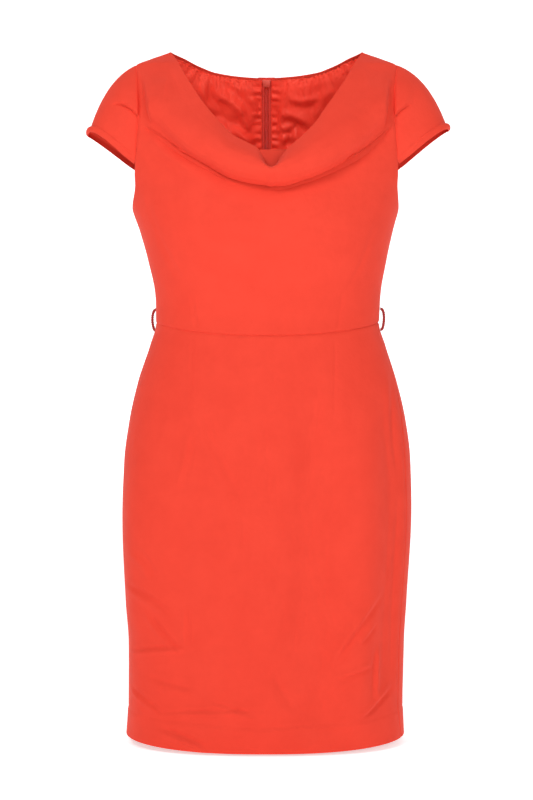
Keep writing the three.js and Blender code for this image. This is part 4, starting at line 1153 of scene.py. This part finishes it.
zipper = {
    "top": -0.0236,
    "meetAt": -0.0268,  # above the slider the tape ends are folded to the middle
    "foot": -0.560,
    "chainTop": -0.0375,
    "inset": 0.0019,
    "tapeNear": 0.0029,
    "closedNear": 0.0003,
    "closingHeight": 0.0012,
    "tapeWidth": 0.009,
    "tapeThickness": 0.0006,
    "toothPitch": 0.0016,
    "toothSize": (0.002415, 0.0009, 0.001376),
    "toothRound": 0.0003,
    "toothFromMiddle": 0.00095,
    "toothDeeper": 0.0009,
    "edgeSteps": (0, 0.0004, 0.0012, 0.003),
    "foldAt": 0.0008,
    "foldWidth": 0.0007,
    "foldThick": 0.0003,
}


def matteFinish(name, colour, roughness, grain, bump, metallic=0.0, stretch=even):
    threads = (stretch, {"Scale": 1 / grain})
    return makeFinish(name, {
        "surface": {"Roughness": roughness, "Metallic": metallic},
        "colours": ((0.3, tuple(c * 0.82 for c in colour)), (0.7, colour)),
        "patches": threads,
        "bumps": ((*threads, bump, 0.0003),),
    })


wovenTape = ("woven", "zip_tape", matteFinish(
    "zip tape", (0.86, 0.052, 0.030), 0.8, 0.0009, 0.35, stretch=(0.3, 0.3, 1)))
toothFinish = matteFinish("zip teeth", (0.80, 0.046, 0.028), 0.38, 0.002, 0.05)
metalFinish = matteFinish("painted metal", (0.90, 0.125, 0.085), 0.33, 0.0015, 0.04, metallic=0.15)
# The cord's red is painted much darker than the crepe's: painted shade for the loops standing in
# shadow at the waist
paintedShadeCordFinish = matteFinish("twisted cord with painted shade", (0.46, 0.032, 0.027), 0.75, 0.0006, 0.4)


def centreBackLine(z):
    # The centre back and its outward direction
    points = formPoint(pi, z)
    normals = formNormal(np.full(np.shape(z), pi), z)
    normals[..., 0] = 0
    return points, unit(normals)


def zipTape(node, side):
    z = ordered(np.linspace(zipper["foot"], zipper["top"], 210),
                np.linspace(zipper["meetAt"] - 0.003, zipper["top"], 12))
    base, lean = centreBackLine(z)
    closed = smooth(zipper["meetAt"] - zipper["closingHeight"], zipper["meetAt"], z)
    near = mix(zipper["tapeNear"], zipper["closedNear"], closed)[:, None]
    far = zipper["tapeNear"] + zipper["tapeWidth"]
    across = np.concatenate([near + step for step in zipper["edgeSteps"]]
                            + [(near + far) / 2, far - 0.0004 + 0 * near, far + 0 * near], 1)
    if side < 0:
        across = -across[:, ::-1]
    points = np.repeat(base[:, None, :], across.shape[1], 1)
    points[..., 0] += across
    onForm = formPoint(angleAcross(np.abs(across), z[:, None], 1), z[:, None])
    points[..., 1] += onForm[..., 1] - base[:, None, 1]
    normals = np.repeat(lean[:, None, :], across.shape[1], 1)
    points = points - normals * zipper["inset"]
    # The edge by the teeth is folded and a little thicker
    fold = bell(np.abs(across) - near - zipper["foldAt"], zipper["foldWidth"])
    points = points - normals * (zipper["foldThick"] * fold)[..., None]
    uv = np.stack(np.broadcast_arrays(across, z[:, None]), -1)
    clothPiece(node, wovenTape, points, normals, uv,
               thickness=zipper["tapeThickness"], rim=1)


def deselectAll():
    if bpy.context.object and bpy.context.object.mode != "OBJECT":
        bpy.ops.object.mode_set(mode="OBJECT")
    bpy.ops.object.select_all(action="DESELECT")


def activate(piece):
    deselectAll()
    piece.select_set(True)
    bpy.context.view_layer.objects.active = piece


def editMesh(piece, *steps):
    # Mesh operators on all the faces of one piece, each with its values
    activate(piece)
    bpy.ops.object.mode_set(mode="EDIT")
    bpy.ops.mesh.select_all(action="SELECT")
    for operator, values in steps:
        operator(**values)
    bpy.ops.object.mode_set(mode="OBJECT")


def applyModifiers(piece):
    activate(piece)
    for modifier in list(piece.modifiers):
        bpy.ops.object.modifier_apply(modifier=modifier.name)


def repeatMesh(name, piece, frames):
    # Copies of one small piece at many places; each frame is a place and three directions
    points = np.array([vertex.co[:] for vertex in piece.data.vertices])
    faces = [list(face.vertices) for face in piece.data.polygons]
    turned = [points[:, :1] * right + points[:, 1:2] * out + points[:, 2:3] * up + place
              for place, right, out, up in frames]
    allFaces = [[v + k * len(points) for v in face] for k in range(len(frames)) for face in faces]
    bpy.data.objects.remove(piece)
    return makeMesh(name, np.concatenate(turned), allFaces)


def zipTeeth():
    # One tooth of the coil: a small rounded bar that reaches past the middle
    deselectAll()
    bpy.ops.mesh.primitive_cube_add(size=1, location=(0, 0, 0))
    tooth = bpy.context.object
    tooth.scale = zipper["toothSize"]
    bpy.ops.object.transform_apply(location=False, rotation=False, scale=True)
    bevel = tooth.modifiers.new("rounded", "BEVEL")
    bevel.width, bevel.segments = zipper["toothRound"], 1
    applyModifiers(tooth)
    frames = []
    count = int((zipper["chainTop"] - zipper["foot"] - 0.002) / zipper["toothPitch"])
    for k in range(count):
        for side in (-1, 1):
            z = zipper["foot"] + 0.001 + zipper["toothPitch"] * (k + (0.25 if side > 0 else 0.75))
            base, lean = centreBackLine(np.array(z))
            up = unit(np.cross(lean, (1.0, 0, 0)))
            up = up * np.sign(up[2])
            place = (base + (side * zipper["toothFromMiddle"], 0, 0)
                     - lean * (zipper["inset"] + zipper["toothDeeper"]))
            frames.append((place, np.array((1.0, 0, 0)), lean, up))
    teeth = repeatMesh("zip_teeth", tooth, frames)
    finishPiece(teeth, "zip_chain", "dress", toothFinish)


zipTape("zip_tape_left", 1)
zipTape("zip_tape_right", -1)
zipTeeth()


hardEdges = {
    "joinWithin": 0.00001,
    "flatWithin": math.radians(4),
    "roundOver": math.radians(35),
    "smoothWithin": math.radians(40),
    "segments": 2,
}


def softenedCopy(name, node, body, width):
    # A copy of a hard solid with its faces joined and its edges rounded
    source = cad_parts[node]
    piece = source.copy()
    piece.data = source.data.copy()
    piece.name = name
    piece.parent = None
    piece.data.materials.clear()
    for key in list(piece.keys()):
        del piece[key]
    bpy.context.scene.collection.objects.link(piece)
    piece.hide_render = piece.hide_viewport = False
    editMesh(piece, (bpy.ops.mesh.remove_doubles, {"threshold": hardEdges["joinWithin"]}),
             (bpy.ops.mesh.dissolve_limited, {"angle_limit": hardEdges["flatWithin"]}))
    bevel = piece.modifiers.new("soft edges", "BEVEL")
    bevel.width, bevel.segments = width, hardEdges["segments"]
    bevel.limit_method, bevel.angle_limit = "ANGLE", hardEdges["roundOver"]
    applyModifiers(piece)
    bpy.ops.object.shade_smooth_by_angle(angle=hardEdges["smoothWithin"])
    finishPiece(piece, node, body, metalFinish)


softenedCopy("zip_slider_body", "zip_slider", "dress", 0.0003)
softenedCopy("zip_pull_drop", "zip_pull_tab", "pull_tab", 0.00018)
print("zip made")


beltLoop = {"top": -0.360, "foot": -0.389, "out": 0.0063, "thickness": 0.0018, "seat": 0.0007,
            "strand": 0.00112, "apart": 0.85, "twists": 7, "sides": 7, "smoothWithin": 50,
            "roundness": 0.95}


def tubeAlong(points, radius, sides):
    # Rings round a line, closed at both ends
    along = unit(np.gradient(points, axis=0))
    across = unit(np.cross(along, (0.0, 1.0, 0.03)))
    other = np.cross(along, across)
    turns = np.linspace(0, 2 * pi, sides, endpoint=False)
    rings = (points[:, None] + radius * (np.cos(turns)[None, :, None] * across[:, None]
                                         + np.sin(turns)[None, :, None] * other[:, None]))
    count = len(points)
    faces = []
    for i in range(count - 1):
        for j in range(sides):
            k = (j + 1) % sides
            faces.append([i * sides + j, i * sides + k, (i + 1) * sides + k, (i + 1) * sides + j])
    faces.append(list(range(sides))[::-1])
    faces.append([(count - 1) * sides + j for j in range(sides)])
    return rings.reshape(-1, 3), faces


def beltLoopThread(node, side):
    # Two twisted strands that stand out from the side seam at the waist
    share = np.linspace(0, 1, 150)
    turn = mix(-pi / 2, pi / 2, share)
    middle = (beltLoop["top"] + beltLoop["foot"]) / 2
    half = (beltLoop["top"] - beltLoop["foot"]) / 2
    z = middle + half * np.sin(turn)
    rest = formPoint(seamAngle(z, side), z)
    radius = beltLoop["thickness"] / 2
    bowed = np.maximum(np.cos(turn), 0) ** beltLoop["roundness"]
    out = radius + beltLoop["seat"] + (beltLoop["out"] - radius) * bowed
    line = rest + np.stack([side * out, 0 * z, 0 * z], -1)
    along = unit(np.gradient(line, axis=0))
    across = np.stack([along[:, 2], 0 * z, -along[:, 0]], -1)
    points, faces = [], []
    for strand in (0, pi):
        twist = share * 2 * pi * beltLoop["twists"] + strand
        offset = (np.cos(twist)[:, None] * across + np.sin(twist)[:, None] * np.array((0, 1.0, 0)))
        ring, ringFaces = tubeAlong(line + offset * beltLoop["strand"] * beltLoop["apart"],
                                    beltLoop["strand"], beltLoop["sides"])
        faces += [[v + sum(len(p) for p in points) for v in face] for face in ringFaces]
        points.append(ring)
    piece = makeMesh(f"{node}_thread", np.concatenate(points), faces)
    editMesh(piece, (bpy.ops.mesh.normals_make_consistent, {"inside": False}))
    bpy.ops.object.shade_smooth_by_angle(angle=math.radians(beltLoop["smoothWithin"]))
    finishPiece(piece, node, "dress", paintedShadeCordFinish)


beltLoopThread("belt_loop_left", 1)
beltLoopThread("belt_loop_right", -1)
print("belt loops made")


paper = {
    "Base Color": (0.93, 0.93, 0.93, 1), "Roughness": 0.9, "Specular IOR Level": 0.1,
    "Emission Color": (1, 1, 1, 1),
}
stage = {
    # place, tilt and glow of each sheet of paper
    "floor": ((0, 0, -0.9615), 0, 0.58),
    "backdrop": ((0, 6.0, 0), pi / 2, 0.66),
}
stageSize = 28


def paperSheet(name):
    place, tilt, glow = stage[name]
    deselectAll()
    bpy.ops.mesh.primitive_plane_add(size=stageSize, location=place, rotation=(tilt, 0, 0))
    sheet = bpy.context.object
    sheet.name = name
    sheet.data.materials.append(newMaterial("pale paper", {**paper, "Emission Strength": glow}))
    return sheet


floor, backdrop = paperSheet("floor"), paperSheet("backdrop")

world = bpy.data.worlds.new("studio")
bpy.context.scene.world = world
world.use_nodes = True
setInputs(world.node_tree.nodes["Background"], {"Color": (1, 1, 1, 1), "Strength": 0.2})

lights = [
    # name, place, size, power in watts
    ("key light", (-1.3, -2.1, 1.5), 0.7, 36.5),
    ("fill light", (1.3, -2.3, 0.3), 1.2, 17.5),
    ("top light", (0.3, -1.6, 1.9), 1.0, 8),
]
lightsAimAt = (0, 0, -0.45)
for name, place, size, power in lights:
    lamp = bpy.data.lights.new(name, "AREA")
    lamp.size, lamp.energy = size, power
    light = bpy.data.objects.new(name, lamp)
    bpy.context.scene.collection.objects.link(light)
    light.location = place
    aim = np.array(lightsAimAt) - np.array(place)
    light.rotation_euler = (math.acos(-aim[2] / np.linalg.norm(aim)), 0,
                            math.atan2(aim[1], aim[0]) - pi / 2)

camera = {"distance": 2.3, "height": -0.487, "heightSeen": 1.12}
lens = bpy.data.cameras.new("camera")
lens.lens = lens.sensor_width * camera["distance"] / camera["heightSeen"]
viewer = bpy.data.objects.new("camera", lens)
bpy.context.scene.collection.objects.link(viewer)
viewer.location = (0, -camera["distance"], camera["height"])
viewer.rotation_euler = (pi / 2, 0, 0)
bpy.context.scene.camera = viewer
bpy.context.scene.view_settings.view_transform = "Standard"
